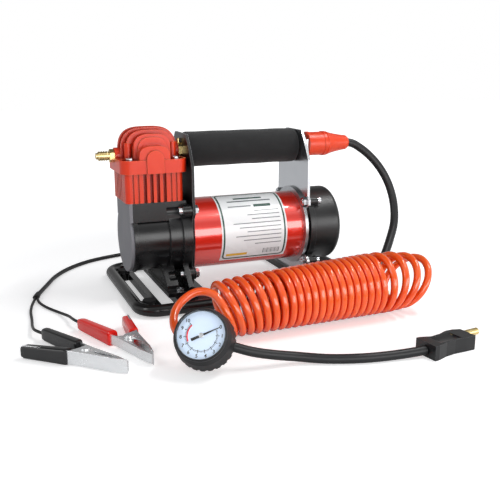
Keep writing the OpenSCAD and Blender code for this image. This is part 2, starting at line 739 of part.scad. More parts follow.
// ---------------------------------------------------------- rear cover
cover_r = 5;                            // rounding of the end face
ear_l = 10;
rocker_z = axis_z + 8;
cavity_d = cover_d - 2 * cover_wall;
module rear_cover()
  color("#2a2b2d")
  difference() {
    union() {
      difference() {
        union() {
          translate([cover_x0, 0, axis_z]) rotate([0, 90, 0]) rotate_extrude() {
            square([cover_d / 2 - cover_r, cover_l]);
            square([cover_d / 2, cover_l - cover_r]);
            translate([cover_d / 2 - cover_r, cover_l - cover_r]) circle(r = cover_r);
          }
          // flange at the open end, with an ear for each bolt
          xcyl(bell_d + 2, cover_x0, cover_x0 + 6, 0, axis_z);
          at_bolts(bolt_gap, bolt_z) xcyl(9, cover_x0, cover_x0 + ear_l);
          for (t = [5:5:15]) at_bolts(bolt_gap - t, bolt_z) xcyl(9, cover_x0, cover_x0 + 6);
        }
        xcyl(cavity_d, cover_x0 - 1, cover_x1 - cover_wall, 0, axis_z);
      }
      // rim of the switch opening
      translate([cover_x1 - eps, -rocker_w / 2 - 2, rocker_z - rocker_h / 2 - 2])
        cube([1.2, rocker_w + 4, rocker_h + 4]);
      // seat of the cable gland
      xcyl(12, cover_x1 - 20, cover_x1 - 8, gland_y - 6, gland_z);
    }
    at_bolts(bolt_gap, bolt_z) xcyl(bolt_d + 0.2, cover_x0 - 1, cover_x1);
    at_bolts(bolt_gap, bolt_z) xcyl(7.6, cover_x0 + ear_l, cover_x1);
    translate([cover_x1 - cover_wall - 1, -rocker_w / 2, rocker_z - rocker_h / 2])
      cube([cover_wall + 4, rocker_w, rocker_h]);
    for (i = [0:2])
      translate([cover_x1 - cover_wall - 1, -14, axis_z - 12 - 5 * i]) cube([cover_wall + 2, 28, 2.2]);
    translate([gland_x, gland_y - 14, gland_z]) rotate([-90, 0, 0]) cylinder(d = 8, h = 30);
    // slot over the pivot of the rocker
    translate([rocker_px, -rocker_w / 2 - 1.5, rocker_z]) rotate([-90, 0, 0])
      cylinder(d = 3, h = rocker_w + 3);
  }

rocker_px = cover_x1 - 1.2;             // pivot of the rocker
rocker_tilt = 8;                        // off at rest; on is the same angle the other way
module switch_rocker()
  color("#1a1a1a")
  translate([rocker_px, 0, rocker_z]) rotate([0, -rocker_tilt, 0]) translate([-rocker_px, 0, -rocker_z])
  difference() {
    union() {
      translate([cover_x1 - 4, -rocker_w / 2 + air_gap, rocker_z - rocker_h / 2 + 0.6])
        rotate([90, 0, 90]) linear_extrude(6)
          square([rocker_w - 2 * air_gap, rocker_h - 1.2]);
      translate([rocker_px, -rocker_w / 2 - 1.3, rocker_z]) rotate([-90, 0, 0])
        cylinder(d = 3 - 2 * run_gap, h = rocker_w + 2.6);
    }
    translate([cover_x1 + 14, -15, rocker_z]) rotate([-90, 0, 0]) cylinder(r = 13, h = 30);
  }

gland_x = cover_x1 - 14;
gland_y = cover_d / 2;
gland_z = axis_z - 14;
module cable_gland()
  color("#161616")
  difference() {
    union() {
      translate([gland_x, gland_y - 8, gland_z]) rotate([-90, 0, 0]) cylinder(d = 8, h = 8);
      translate([gland_x, gland_y, gland_z]) rotate([-90, 0, 0]) rotate_extrude()
        polygon([[0, 0], [5.5, 0], [5.5, 3], [4.4, 4], [3.2, 14], [0, 14]]);
    }
    translate([gland_x, gland_y - 9, gland_z]) rotate([-90, 0, 0]) cylinder(d = cable_d, h = 24);
  }

// ---------------------------------------------------- coupler and hoses
nut_x0 = cover_x0;
nut_l = 11;
collar_x0 = nut_x0 + nut_l;
collar_x1 = collar_x0 + collar_l;
module coupler_nut()
  color("#5c6064")
  difference() {
    union() {
      xcyl(22, nut_x0, collar_x0, 0, handle_z, 6);
      xcyl(15, nut_x0, collar_x1 - 2, 0, handle_z);
      xcyl(collar_d - 6 - 2 * run_gap, collar_x0 + 4, collar_x0 + 6, 0, handle_z);
    }
    xcyl(tube_bore - 1, nut_x0 - 1, collar_x1, 0, handle_z);
  }

module coupler_collar()
  color("#ee4d2c")
  difference() {
    union() {
      xcyl(collar_d, collar_x0 + air_gap, collar_x1, 0, handle_z);
      xcyl(collar_d + 1.2, collar_x0 + air_gap, collar_x0 + 3, 0, handle_z);
      xcyl(collar_d + 1.2, collar_x1 - 3, collar_x1, 0, handle_z);
    }
    xcyl(15 + 2 * run_gap, collar_x0 - 1, collar_x1 + 1, 0, handle_z);
    xcyl(collar_d - 6, collar_x0 + 4 - air_gap, collar_x0 + 6 + air_gap, 0, handle_z);
  }

boot_x0 = collar_x1 + air_gap;
boot_x1 = boot_x0 + boot_l;
module hose_boot()
  color("#ee4d2c")
  difference() {
    union() {
      translate([boot_x0, 0, handle_z]) rotate([0, 90, 0]) rotate_extrude()
        polygon([[0, 0], [11.8, 0], [12.3, 1.5], [10.5, 7], [9.2, 13], [8, 20], [7.4, boot_l - 2],
          [6, boot_l], [0, boot_l]]);
    }
    xcyl(lead_hose_d, boot_x0 + 4, boot_x1 + 1, 0, handle_z);
    xcyl(5, boot_x0 - 1, boot_x0 + 5, 0, handle_z);
  }

// a hose or cable of diameter d, swept along the points p
function unit(v) = v / norm(v);
function tangent(p, i) = unit(p[min(i + 1, len(p) - 1)] - p[max(i - 1, 0)]);
// normals carried along the route, so that the tube does not twist
function normals(p, i, n) = i >= len(p) ? [] :
  let (t = tangent(p, i), m = unit(n - t * (n * t))) concat([m], normals(p, i + 1, m));
module tube(p, d, sides) {
  nrm = normals(p, 0, abs(tangent(p, 0)[2]) > 0.9 ? [1, 0, 0] : [0, 0, 1]);
  m = len(p);
  pts = [for (i = [0:m - 1]) let (n = nrm[i], b = cross(tangent(p, i), n))
    for (j = [0:sides - 1]) let (a = 360 * (j + 0.5) / sides)
      p[i] + d / 2 * (cos(a) * n + sin(a) * b)];
  faces = concat([[for (j = [0:sides - 1]) j]],
    [for (i = [0:m - 2], j = [0:sides - 1]) let (k = (j + 1) % sides)
      [i * sides + j, (i + 1) * sides + j, (i + 1) * sides + k, i * sides + k]],
    [[for (j = [sides - 1:-1:0]) (m - 1) * sides + j]]);
  polyhedron(pts, faces);
}

// lead hose: out of the boot, over and down behind the coil, to the joint
joint_p = [120, -88, 6];                // end of the joint that takes the lead hose
joint_l = 22;
lead_pts = [[boot_x0 + 4, 0, handle_z], [boot_x1, 0, handle_z], [141.5, -1, 138.6],
  [150.9, -4, 133], [161.1, -8, 123.9], [171.1, -13, 110.7], [178.6, -18, 94.3], [181, -25, 75.7],
  [176.9, -34, 57.1], [166.5, -44, 42.5], [154, -55, 29.5], [142.5, -64.5, 18.5], [132, -73, 11],
  [124, -80, 7.2], [120.8, -84.5, 6.2], joint_p];
module lead_hose()
  color("#1c1c1c")
  tube(lead_pts, lead_hose_d, 10);

module hose_joint()
  color("#b98e3e")
  translate(joint_p) rotate([90, 0, 0]) difference() {
    union() {
      cylinder(d = 11, h = joint_l);
      translate([0, 0, joint_l / 2 - 3]) cylinder(d = 12, h = 6, $fn = 6);
    }
    translate([0, 0, -1]) cylinder(d = 3, h = joint_l + 2);
  }

// coiled hose: the closed outer shape of its turns, lying on the floor
coil_x0 = -58;
coil_y0 = -144.2;
coil_y1 = -137.7;
coil_lift = 0.6;                        // floor to the turns
coil_turn = atan((coil_y1 - coil_y0) / coil_l);
coil_rise = atan((coil_d2 - coil_d1) / 2 / coil_l);

// the last turns fan out: their feet stay close while their tops lean away
fan_feet = 28;                          // length that their feet cover
fan_lean = 38;                          // lean of the last turn
fan_sides = 24;
// point at angle b of the ring of radius r that leans at the share u of the fan
function fan_point(u, r, b) = let (a = fan_lean * u, ro = coil_d2 / 2 - 0.2)
  [coil_x0 + coil_l + fan_feet * u + ro * sin(a), coil_y1 + 1.2 * u, coil_lift + ro * cos(a)]
    + r * [cos(b) * sin(a), sin(b), cos(b) * cos(a)];
module coil_fan(r, u0, u1) {
  n = fan_sides;
  m = 5;
  pts = [for (i = [0:m], j = [0:n - 1]) fan_point(u0 + (u1 - u0) * i / m, r, -360 * (j + 0.5) / n)];
  faces = concat([[for (j = [0:n - 1]) j]],
    [for (i = [0:m - 1], j = [0:n - 1]) let (k = (j + 1) % n)
      [i * n + j, (i + 1) * n + j, (i + 1) * n + k, i * n + k]],
    [[for (j = [n - 1:-1:0]) m * n + j]]);
  polyhedron(pts, faces);
}

module coil_hose()
  color("#f0552b") {
    translate([coil_x0, coil_y0, coil_d1 / 2 + coil_lift])
      rotate([0, 0, coil_turn]) rotate([0, 90 - coil_rise, 0]) rotate_extrude()
        polygon([[coil_d1 / 2 - coil_tube_d, 0], [coil_d1 / 2, 0],
          [coil_d2 / 2, coil_l], [coil_d2 / 2 - coil_tube_d, coil_l]]);
    difference() {
      coil_fan(coil_d2 / 2 - 0.2, -0.08, 1);
      coil_fan(coil_d2 / 2 - coil_tube_d - 0.2, -0.2, 1.2);
    }
  }

// tails of the coiled hose: the last loop to the gauge, and the end that runs
// back along the floor to the joint
tail_pts = [[-57.9, -152, 44.3], [-62, -147.5, 46.3], [-69, -145, 46.2], [-79, -146, 43.5],
  [-89, -149, 40.7], [-96.5, -153, 36.6], [-101.8, -159, 31.8], [-104.3, -166, 26.4],
  [-104, -175, 22.3], [-100.5, -184.9, 19.5]];
far_pts = [[121, -137, 4.2], [121.5, -128, 4.3], [121, -118, 5],
  [joint_p[0], joint_p[1] - joint_l, joint_p[2]]];
module coil_tail()
  color("#f0552b") {
    tube(tail_pts, coil_tube_d, 10);
    tube(far_pts, coil_tube_d, 10);
  }

// --------------------------------------------------------------- gauge
gauge_az = -120;                        // direction that the dial faces
gauge_el = 33;
gauge_back = [-87, -192, gauge_d / 2 * cos(gauge_el) + 0.15];
module in_gauge()
  translate(gauge_back) rotate([0, 90 - gauge_el, gauge_az]) rotate([0, 0, 90]) children();

case_d = ring_d - 5;
dial_z = gauge_h - 5;
lens_z = gauge_h - 3.2;
module gauge_boot()
  color("#242424")
  in_gauge() difference() {
    rotate_extrude() polygon([[0, 0], [gauge_d / 2 - 1.6, 0], [gauge_d / 2, 1.4], [gauge_d / 2, 4],
      [ring_d / 2 + 2, gauge_h - 8], [ring_d / 2, gauge_h - 3], [ring_d / 2, gauge_h - 1],
      [ring_d / 2 - 1, gauge_h], [0, gauge_h]]);
    for (a = [0:15:345]) rotate([0, 0, a + 7.5])
      translate([gauge_d / 2 + 0.9, 0, -1]) cylinder(d = 3.4, h = 7);
    translate([0, 0, 3]) cylinder(d = case_d, h = gauge_h);
    translate([0, 0, dial_z]) cylinder(d = case_d + 2, h = gauge_h);
  }

module gauge_dial()
  color("#dfe8ef")
  in_gauge() difference() {
    union() {
      translate([0, 0, 3]) cylinder(d = case_d, h = dial_z - 3);
      translate([0, 0, dial_z]) cylinder(d = case_d + 2, h = 0.6);
    }
    translate([0, 0, 8]) cylinder(d = 1.6 + 2 * run_gap, h = gauge_h);
  }

needle_zero = 27;                       // angle of the needle at rest
needle_l = case_d / 2 - 2.6;
module gauge_needle()
  color("#101010")
  in_gauge() {
    translate([0, 0, 9]) cylinder(d = 1.6, h = dial_z - 9 + 1.3);
    translate([0, 0, dial_z + 0.7]) cylinder(d = 3.4, h = 0.8);
    rotate([0, 0, needle_zero]) translate([0, 0, dial_z + 0.8]) linear_extrude(0.4)
      polygon([[-8, -1.1], [-8, 1.1], [0, 0.8], [needle_l, 0.15], [needle_l, -0.15], [0, -0.8]]);
  }

module gauge_lens()
  color("#e8f2f6")
  in_gauge() translate([0, 0, lens_z]) cylinder(d = case_d + 2, h = 1.4);

// chuck hose along the floor, from the gauge to the chuck
chuck_p = [75.5, -239.5];               // hose end of the chuck
chuck_az = 8;
tip_y = 5;                              // axis of the tip, from the chuck's middle
tip_z = chuck_h - 4;
tip_seat = 14;                          // depth of the tip in the chuck
tip_l = 16;                             // free length of the tip
tip_bore = 2.6;
chuck_hose_pts = [[-72, -205, 18], [-58, -210, 13.5], [-42, -212.5, 9.5], [-24, -214.5, 6],
  [-2, -223, 4], [24, -232, 3.8], [50, -236, 3.8], [64, -238, 4.6], [75.8, -239.5, 5.5]];
module chuck_hose()
  color("#1b1b1b")
  tube(chuck_hose_pts, chuck_hose_d, 10);

module in_chuck() translate([chuck_p[0], chuck_p[1], 0]) rotate([0, 0, chuck_az]) children();
module chuck_body()
  color("#2b2b2c")
  in_chuck() difference() {
    linear_extrude(chuck_h)
      polygon([[0, -11], [4, -11], [14, -8.4], [24, -7.6], [chuck_l - 9, -8.6], [chuck_l, -9],
        [chuck_l, 7.5], [chuck_l - 6, 10], [30, 10.6], [22, 8], [12, 7.2], [4, 10.5], [0, 11]]);
    // thumb scoop across the top
    translate([20, 0, chuck_h + 19]) rotate([0, 90, 0])
      translate([0, 0, -11]) cylinder(r = 20.2, h = 22);
    translate([chuck_l - tip_seat, tip_y, tip_z]) rotate([0, 90, 0])
      cylinder(d = tip_d + 1.2 + 2 * run_gap, h = tip_seat + 1);
  }

module chuck_tip()
  color("#c08a3e")
  in_chuck() translate([chuck_l - tip_seat + air_gap, tip_y, tip_z]) rotate([0, 90, 0]) difference() {
    union() {
      cylinder(d = tip_d + 1.2, h = tip_seat - air_gap);
      cylinder(d = tip_d, h = tip_seat - air_gap + tip_l);
    }
    translate([0, 0, -1]) cylinder(d = tip_bore, h = tip_seat + tip_l + 2);
  }

// ---------------------------------------------------------- supply lead
coil_c = [34, 132];                     // middle of the stored turns
coil_in = 20;
coil_out = 33.6;
coil_h = 18.6;
cable_in_pts = [[gland_x, gland_y + 12, gland_z], [gland_x, gland_y + 20, gland_z - 2],
  [gland_x, gland_y + 29, gland_z - 12], [gland_x - 0.5, 74, 18.5], [gland_x - 1.5, 80, 14.8],
  [gland_x - 4, 86, 10.5], [91, 92, 6], [86, 98, 3.2], [79, 107, 2.4], [72.5, 119, 2.4],
  [coil_c[0] + coil_out, coil_c[1], 2.4]];
split_p = [-188, 22, 2.4];
cable_out_pts = [[coil_c[0], coil_c[1] + coil_out, 16.2], [23, 166, 14.6], [8, 166.5, 9.5],
  [-6, 165.5, 5], [-20, 163, 2.8], [-40, 158.5, 2.4], [-62, 152, 2.4], [-80, 146, 2.4],
  [-98, 140, 2.4], [-116, 132, 2.4],
  [-134, 119, 2.4], [-150, 102, 2.4], [-164, 80, 2.4], [-175, 54, 2.4], split_p];
module power_cable()
  color("#191919") {
    tube(cable_in_pts, cable_d, 8);
    tube(cable_out_pts, cable_d, 8);
  }

module cable_coil()
  color("#191919")
  translate([coil_c[0], coil_c[1], 0]) rotate_extrude()
    translate([coil_in, 0.2]) square([coil_out - coil_in - 0.1, coil_h]);

black_wire_pts = [split_p, [-194, 2, 1.8], [-198, -20, 1.8], [-199.5, -46, 1.8],
  [-201, -70, 3.6], [-200, -85, 6], [-195.3, -95.4, 6.5]];
red_wire_pts = [split_p, [-188.5, 4, 1.8], [-184, -14, 1.8], [-175, -34, 2],
  [-168.5, -56, 4.4], [-166.3, -72, 6.1], [-162.5, -82.7, 6.5]];
module clamp_wires()
  color("#191919") {
    tube(black_wire_pts, wire_d, 8);
    tube(red_wire_pts, wire_d, 8);
  }

// battery clamps lying on their sides, pivot at the origin, jaws towards +X.
// Each clamp has a fixed lever that takes the wire and a moving jaw.
black_p = [-170.5, -154.7];
black_az = -52.2;
red_p = [-133.4, -140];
red_az = -78.2;
module at_black() translate([black_p[0], black_p[1], 0]) rotate([0, 0, black_az]) children();
module at_red() translate([red_p[0], red_p[1], 0]) rotate([0, 0, red_az]) children();

jaw_x = 41;                             // from the pivot to the tips
pivot_y = 8;                            // from the pivot to a lever's back
rivet_d = 4;
lid = 1;                                // floor to the outer channel
nest = sheet_t + 0.2;                   // outer channel to the inner one
function back_y(x, tail) = x < 0 ? pivot_y + (clamp_spread / 2 - 1.4 - pivot_y) * x / tail :
  pivot_y - (pivot_y - 0.8) * x / jaw_x;

// channel of folded sheet from z0 to z1; its handle ends at tail, below zero
module channel(tail, z0, z1) {
  knee = jaw_x * 0.7;
  back = [[tail, back_y(tail, tail)], [0, pivot_y], [knee, back_y(knee, tail) + 1.2], [jaw_x, 0.8]];
  translate([0, 0, z0]) linear_extrude(z1 - z0)
    polygon(concat(back, [for (i = [3:-1:0]) back[i] - [0, i == 3 ? 0.6 : sheet_t]]));
  for (z = [z0, z1 - sheet_t]) translate([0, 0, z]) difference() {
    linear_extrude(sheet_t) union() {
      circle(d = 10);
      polygon([[-5, 0], [-8, back_y(-8, tail) - sheet_t / 2], [0, pivot_y - sheet_t / 2],
        [knee, back_y(knee, tail) + 0.6], [jaw_x - 1, 0.8], [jaw_x - 2, 1.2], [jaw_x - 3, 0.6],
        [jaw_x - 4, 1.2], [jaw_x - 5, 0.6], [jaw_x - 7, 1.4], [knee, 2.4], [20, 3], [13, 2.8],
        [8, 1.6], [5, 0]]);
    }
    translate([0, 0, -1]) cylinder(d = rivet_d + 2 * run_gap, h = sheet_t + 2);
  }
}

// vinyl sleeve over the handle, from the handle's end to the point x1
module sleeve(tail, x1, z0, z1)
  difference() {
    linear_extrude(clamp_w) polygon([[tail - 3, back_y(tail, tail) - 5],
      [tail - 4, back_y(tail, tail) - 2.6], [tail - 3, back_y(tail, tail) + 0.2],
      [tail, back_y(tail, tail) + 1.4], [x1, back_y(x1, tail) + 1.4],
      [x1, back_y(x1, tail) - 6.2], [tail, back_y(tail, tail) - 6.8]]);
    channel(tail, z0, z1);
  }

long_tail = jaw_x - clamp_l + 3;        // handle end of the lever with the wire
short_tail = long_tail + 14;
long_end = -14;                         // inner ends of the sleeves
short_end = -9;
module fixed_channel() channel(long_tail, lid + nest, clamp_w - lid - nest);
module moving_channel() channel(short_tail, lid, clamp_w - lid);

// rivet with its two heads, and the spring's turns round it
module rivet() {
  translate([0, 0, 0.2]) cylinder(d = rivet_d, h = clamp_w - 0.4);
  for (z = [0.2, clamp_w - 0.2 - 0.75]) translate([0, 0, z]) cylinder(d = 7.5, h = 0.75);
  for (i = [0:3]) translate([0, 0, clamp_w / 2 + (i - 1.5) * 1.3]) rotate_extrude()
    translate([rivet_d / 2 + 0.75, 0]) circle(d = 1.2);
}

module clamp_levers()
  color("#c9cccf") {
    at_black() {
      fixed_channel();
      rivet();
    }
    at_red() {
      mirror([0, 1, 0]) fixed_channel();
      rivet();
    }
  }

module black_jaw() color("#c9cccf") at_black() mirror([0, 1, 0]) moving_channel();
module red_jaw() color("#c9cccf") at_red() moving_channel();
module black_grip()
  color("#202020")
  at_black() sleeve(long_tail, long_end, lid + nest, clamp_w - lid - nest);
module red_grip()
  color("#d8232a")
  at_red() mirror([0, 1, 0]) sleeve(long_tail, long_end, lid + nest, clamp_w - lid - nest);
module black_jaw_grip()
  color("#202020")
  at_black() mirror([0, 1, 0]) sleeve(short_tail, short_end, lid, clamp_w - lid);
module red_jaw_grip()
  color("#d8232a")
  at_red() sleeve(short_tail, short_end, lid, clamp_w - lid);

base_tray();
base_feet();
base_screws();
pump_bracket();
motor_bracket();
flange_bolts();
rear_bolts();
handle_tube();
foam_grip();
outlet_fitting();
crankcase();
front_cover();
cylinder_part();  // cylinder
cylinder_liner();
valve_plate();
cylinder_head();
head_screws();
safety_valve();
piston();
piston_ring();
connecting_rod();
wrist_pin();
crank();
motor_bearings();
motor_can();
motor_label();
motor_magnets();
armature();
commutator();
motor_shaft();
rear_bell();
brushes();
rear_cover();
switch_rocker();
cable_gland();
coupler_nut();
coupler_collar();
hose_boot();
lead_hose();
hose_joint();
coil_hose();
coil_tail();
gauge_boot();
gauge_dial();
gauge_needle();
gauge_lens();
chuck_hose();
chuck_body();
chuck_tip();
power_cable();
cable_coil();
clamp_wires();
clamp_levers();
black_jaw();
red_jaw();
black_grip();
red_grip();
black_jaw_grip();
red_jaw_grip();
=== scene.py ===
"""A twelve-volt oil-free air compressor on a carrying tray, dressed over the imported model."""

import bmesh
import bpy
import numpy as np
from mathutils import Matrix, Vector


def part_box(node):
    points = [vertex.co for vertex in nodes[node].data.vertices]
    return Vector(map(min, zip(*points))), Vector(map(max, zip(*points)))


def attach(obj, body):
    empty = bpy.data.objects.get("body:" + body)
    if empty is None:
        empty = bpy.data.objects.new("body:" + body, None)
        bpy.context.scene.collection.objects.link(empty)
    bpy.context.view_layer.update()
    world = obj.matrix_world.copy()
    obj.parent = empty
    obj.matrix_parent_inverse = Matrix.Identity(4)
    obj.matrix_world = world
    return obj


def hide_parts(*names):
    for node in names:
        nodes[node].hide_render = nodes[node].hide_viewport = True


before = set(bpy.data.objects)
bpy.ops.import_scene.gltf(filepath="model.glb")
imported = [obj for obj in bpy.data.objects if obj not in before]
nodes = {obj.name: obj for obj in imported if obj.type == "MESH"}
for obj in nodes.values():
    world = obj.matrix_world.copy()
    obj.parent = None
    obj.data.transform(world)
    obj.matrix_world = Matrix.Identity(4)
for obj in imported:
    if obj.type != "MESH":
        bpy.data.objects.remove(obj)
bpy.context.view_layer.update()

# ---------------------------------------------------------------------------------------------
# The studio: a pale floor, a white surround, and three soft boxes, one long and low in front, one
# narrow overhead and one on the left. The camera stands in front of the pump end, a little above
# the handle, and looks down at the tray.


def linear(code):
    """The linear colour of an sRGB hex code: c / 12.92 up to 0.04045, and above it
    (c + 0.055) / 1.055 to the power 2.4."""
    c = np.array([int(code[i : i + 2], 16) / 255 for i in (1, 3, 5)])
    c = np.where(c <= 0.04045, c / 12.92, ((c + 0.055) / 1.055) ** 2.4)
    return (*c, 1.0)


def add(tree, kind, inputs=(), **settings):
    """Adds a node with its settings. Inputs, by name or number, hold values or sockets to link."""
    made = tree.nodes.new(kind)
    for name, value in settings.items():
        setattr(made, name, value)
    for key, value in dict(inputs).items():
        if isinstance(value, bpy.types.NodeSocket):
            tree.links.new(value, made.inputs[key])
        else:
            made.inputs[key].default_value = value
    return made


world = bpy.data.worlds.new("white_surround")
bpy.context.scene.world = world
world.use_nodes = True
sky = world.node_tree
sky.nodes.clear()
sky_ray = add(sky, "ShaderNodeLightPath").outputs
fill_level = 0.34
white = add(sky, "ShaderNodeBackground", {0: (1, 1, 1, 1), 1: 1.0})
fill = add(sky, "ShaderNodeBackground", {0: linear("#f4f6fa"), 1: fill_level})
# What shiny parts mirror, by degrees round from the front horizon, over the top, to the back one:
# white low in front, a dim gap, a pale sheet, then a dark ceiling that ends in a grey wall.
wall_at, wall_level = zip((0, 1.0), (20, 1.0), (26, 0.45), (42, 0.45), (50, 0.9), (80, 0.8),
                          (88, 0.12), (140, 0.16), (180, 0.6))
way = add(sky, "ShaderNodeSeparateXYZ", {0: add(sky, "ShaderNodeTexCoord").outputs["Generated"]})
front = add(sky, "ShaderNodeMath", {0: way.outputs["Y"], 1: -1.0}, operation="MULTIPLY")
round_up = add(sky, "ShaderNodeMath", {0: way.outputs["Z"], 1: front.outputs[0]},
               operation="ARCTAN2")
share = add(sky, "ShaderNodeMath", {0: round_up.outputs[0], 1: np.pi}, operation="DIVIDE")
walls = add(sky, "ShaderNodeValToRGB", {0: share.outputs[0]})
for degrees in wall_at[1:-1]:
    walls.color_ramp.elements.new(degrees / 180)
for stop, level in zip(walls.color_ramp.elements, wall_level):
    stop.color = (level, level, level, 1)
# To the left and right the walls turn white, by how much of the way points aside.
aside = add(sky, "ShaderNodeMath", {0: way.outputs["X"]}, operation="ABSOLUTE")
white_from, white_to, whitest = 0.6, 0.85, 0.9
beside = add(sky, "ShaderNodeMapRange", {0: aside.outputs[0], 1: white_from, 2: white_to,
                                         3: 0.0, 4: whitest})
room = add(sky, "ShaderNodeMix", {0: beside.outputs[0], 6: walls.outputs[0], 7: (1, 1, 1, 1)},
           data_type="RGBA")
mirrored = add(sky, "ShaderNodeBackground", {0: room.outputs[2], 1: 1.0})
lit = add(sky, "ShaderNodeMixShader", {0: sky_ray["Is Glossy Ray"], 1: fill.outputs[0],
                                       2: mirrored.outputs[0]})
seen = add(sky, "ShaderNodeMath", {0: sky_ray["Is Camera Ray"], 1: sky_ray["Is Transmission Ray"]},
           operation="MAXIMUM")
surround = add(sky, "ShaderNodeMixShader", {0: seen.outputs[0], 1: lit.outputs[0],
                                            2: white.outputs[0]})
add(sky, "ShaderNodeOutputWorld", {0: surround.outputs[0]})

# The floor is white paper. To the eye it also glows, more with the distance from its middle, so
# that it meets the white surround, and a quarter of that glow shows in shiny parts.
floor_half = 3.0
floor_mesh = bpy.data.meshes.new("floor")
floor_mesh.from_pydata([(-floor_half, -floor_half, 0), (floor_half, -floor_half, 0),
                        (floor_half, floor_half, 0), (-floor_half, floor_half, 0)], [],
                       [(0, 1, 2, 3)])
floor = bpy.data.objects.new("floor", floor_mesh)
bpy.context.scene.collection.objects.link(floor)
paper = bpy.data.materials.new("studio_paper")
paper.use_nodes = True
page = paper.node_tree
page.nodes.clear()
page_ray = add(page, "ShaderNodeLightPath").outputs
matt = add(page, "ShaderNodeBsdfDiffuse", {0: linear("#f2f2f2")})
from_middle = add(page, "ShaderNodeVectorMath",
                  {0: add(page, "ShaderNodeTexCoord").outputs["Object"]}, operation="LENGTH")
(near, near_glow), (far, far_glow), mirrored_share = (0.25, 0.45), (0.8, 1.0), 0.25
brighter = add(page, "ShaderNodeMapRange", {0: from_middle.outputs["Value"], 1: near, 2: far,
                                            3: near_glow, 4: far_glow})
glow = add(page, "ShaderNodeEmission", {0: (1, 1, 1, 1), 1: brighter.outputs[0]})
lifted = add(page, "ShaderNodeAddShader", {0: matt.outputs[0], 1: glow.outputs[0]})
in_mirrors = add(page, "ShaderNodeMath", {0: page_ray["Is Glossy Ray"], 1: mirrored_share},
                 operation="MULTIPLY")
to_eye = add(page, "ShaderNodeMath", {0: page_ray["Is Camera Ray"], 1: in_mirrors.outputs[0]},
             operation="MAXIMUM")
through_glass = add(page, "ShaderNodeMath",
                    {0: to_eye.outputs[0], 1: page_ray["Is Transmission Ray"]},
                    operation="MAXIMUM")
paper_face = add(page, "ShaderNodeMixShader", {0: through_glass.outputs[0], 1: matt.outputs[0],
                                               2: lifted.outputs[0]})
add(page, "ShaderNodeOutputMaterial", {0: paper_face.outputs[0]})
floor_mesh.materials.append(paper)

camera = bpy.data.objects.new("camera", bpy.data.cameras.new("camera"))
bpy.context.scene.collection.objects.link(camera)
view_way = Vector((0.361, 0.898, -0.250))
camera.location = (-0.2435, -0.669, 0.219)
camera.rotation_euler = view_way.to_track_quat("-Z", "Y").to_euler()
camera.data.lens = 51.62
camera.data.sensor_width = 36.0
camera.data.clip_start = 0.01
bpy.context.scene.camera = camera


def lamp(name, place, aim, width, height, power):
    """A soft box of width by height metres at a place, turned to face the aim."""
    light = bpy.data.lights.new(name, "AREA")
    light.shape = "RECTANGLE"
    light.size, light.size_y, light.energy = width, height, power
    held = bpy.data.objects.new(name, light)
    held.location = place
    held.rotation_euler = (Vector(aim) - Vector(place)).to_track_quat("-Z", "Y").to_euler()
    bpy.context.scene.collection.objects.link(held)


lamp("front_box", (0.35, -0.95, 0.22), (0.25, 0, 0.12), 1.5, 0.36, 6.6)
lamp("overhead_strip", (0.43, -0.21, 0.88), (0, 0, 0.07), 0.5, 0.06, 3.2)
lamp("left_box", (-1.1, -0.3, 0.75), (0, 0, 0.07), 0.3, 0.5, 2.2)

bpy.context.scene.view_settings.view_transform = "Standard"

# ---------------------------------------------------------------------------------------------
# The tray: one glossy black ABS moulding with a rolled rim, cross bars and a web, on which the
# pump and the motor stand. It sits on four black rubber mounts pressed up into its corners, and
# four zinc plated bolts hold the brackets down on it.

# Nearly all of a noise lies between these two values.
noise_low, noise_high = 0.3, 0.7
# The shares of open surroundings at which the painted shade in a slot begins, and is full.
slot_shade_start_share, slot_shade_full_share = 0.85, 0.3
# The cosines of the rounded normal's turn at which the painted highlight along the edges begins,
# and is full.
flat_cos, edge_highlight_full_cos = 0.995, 0.86


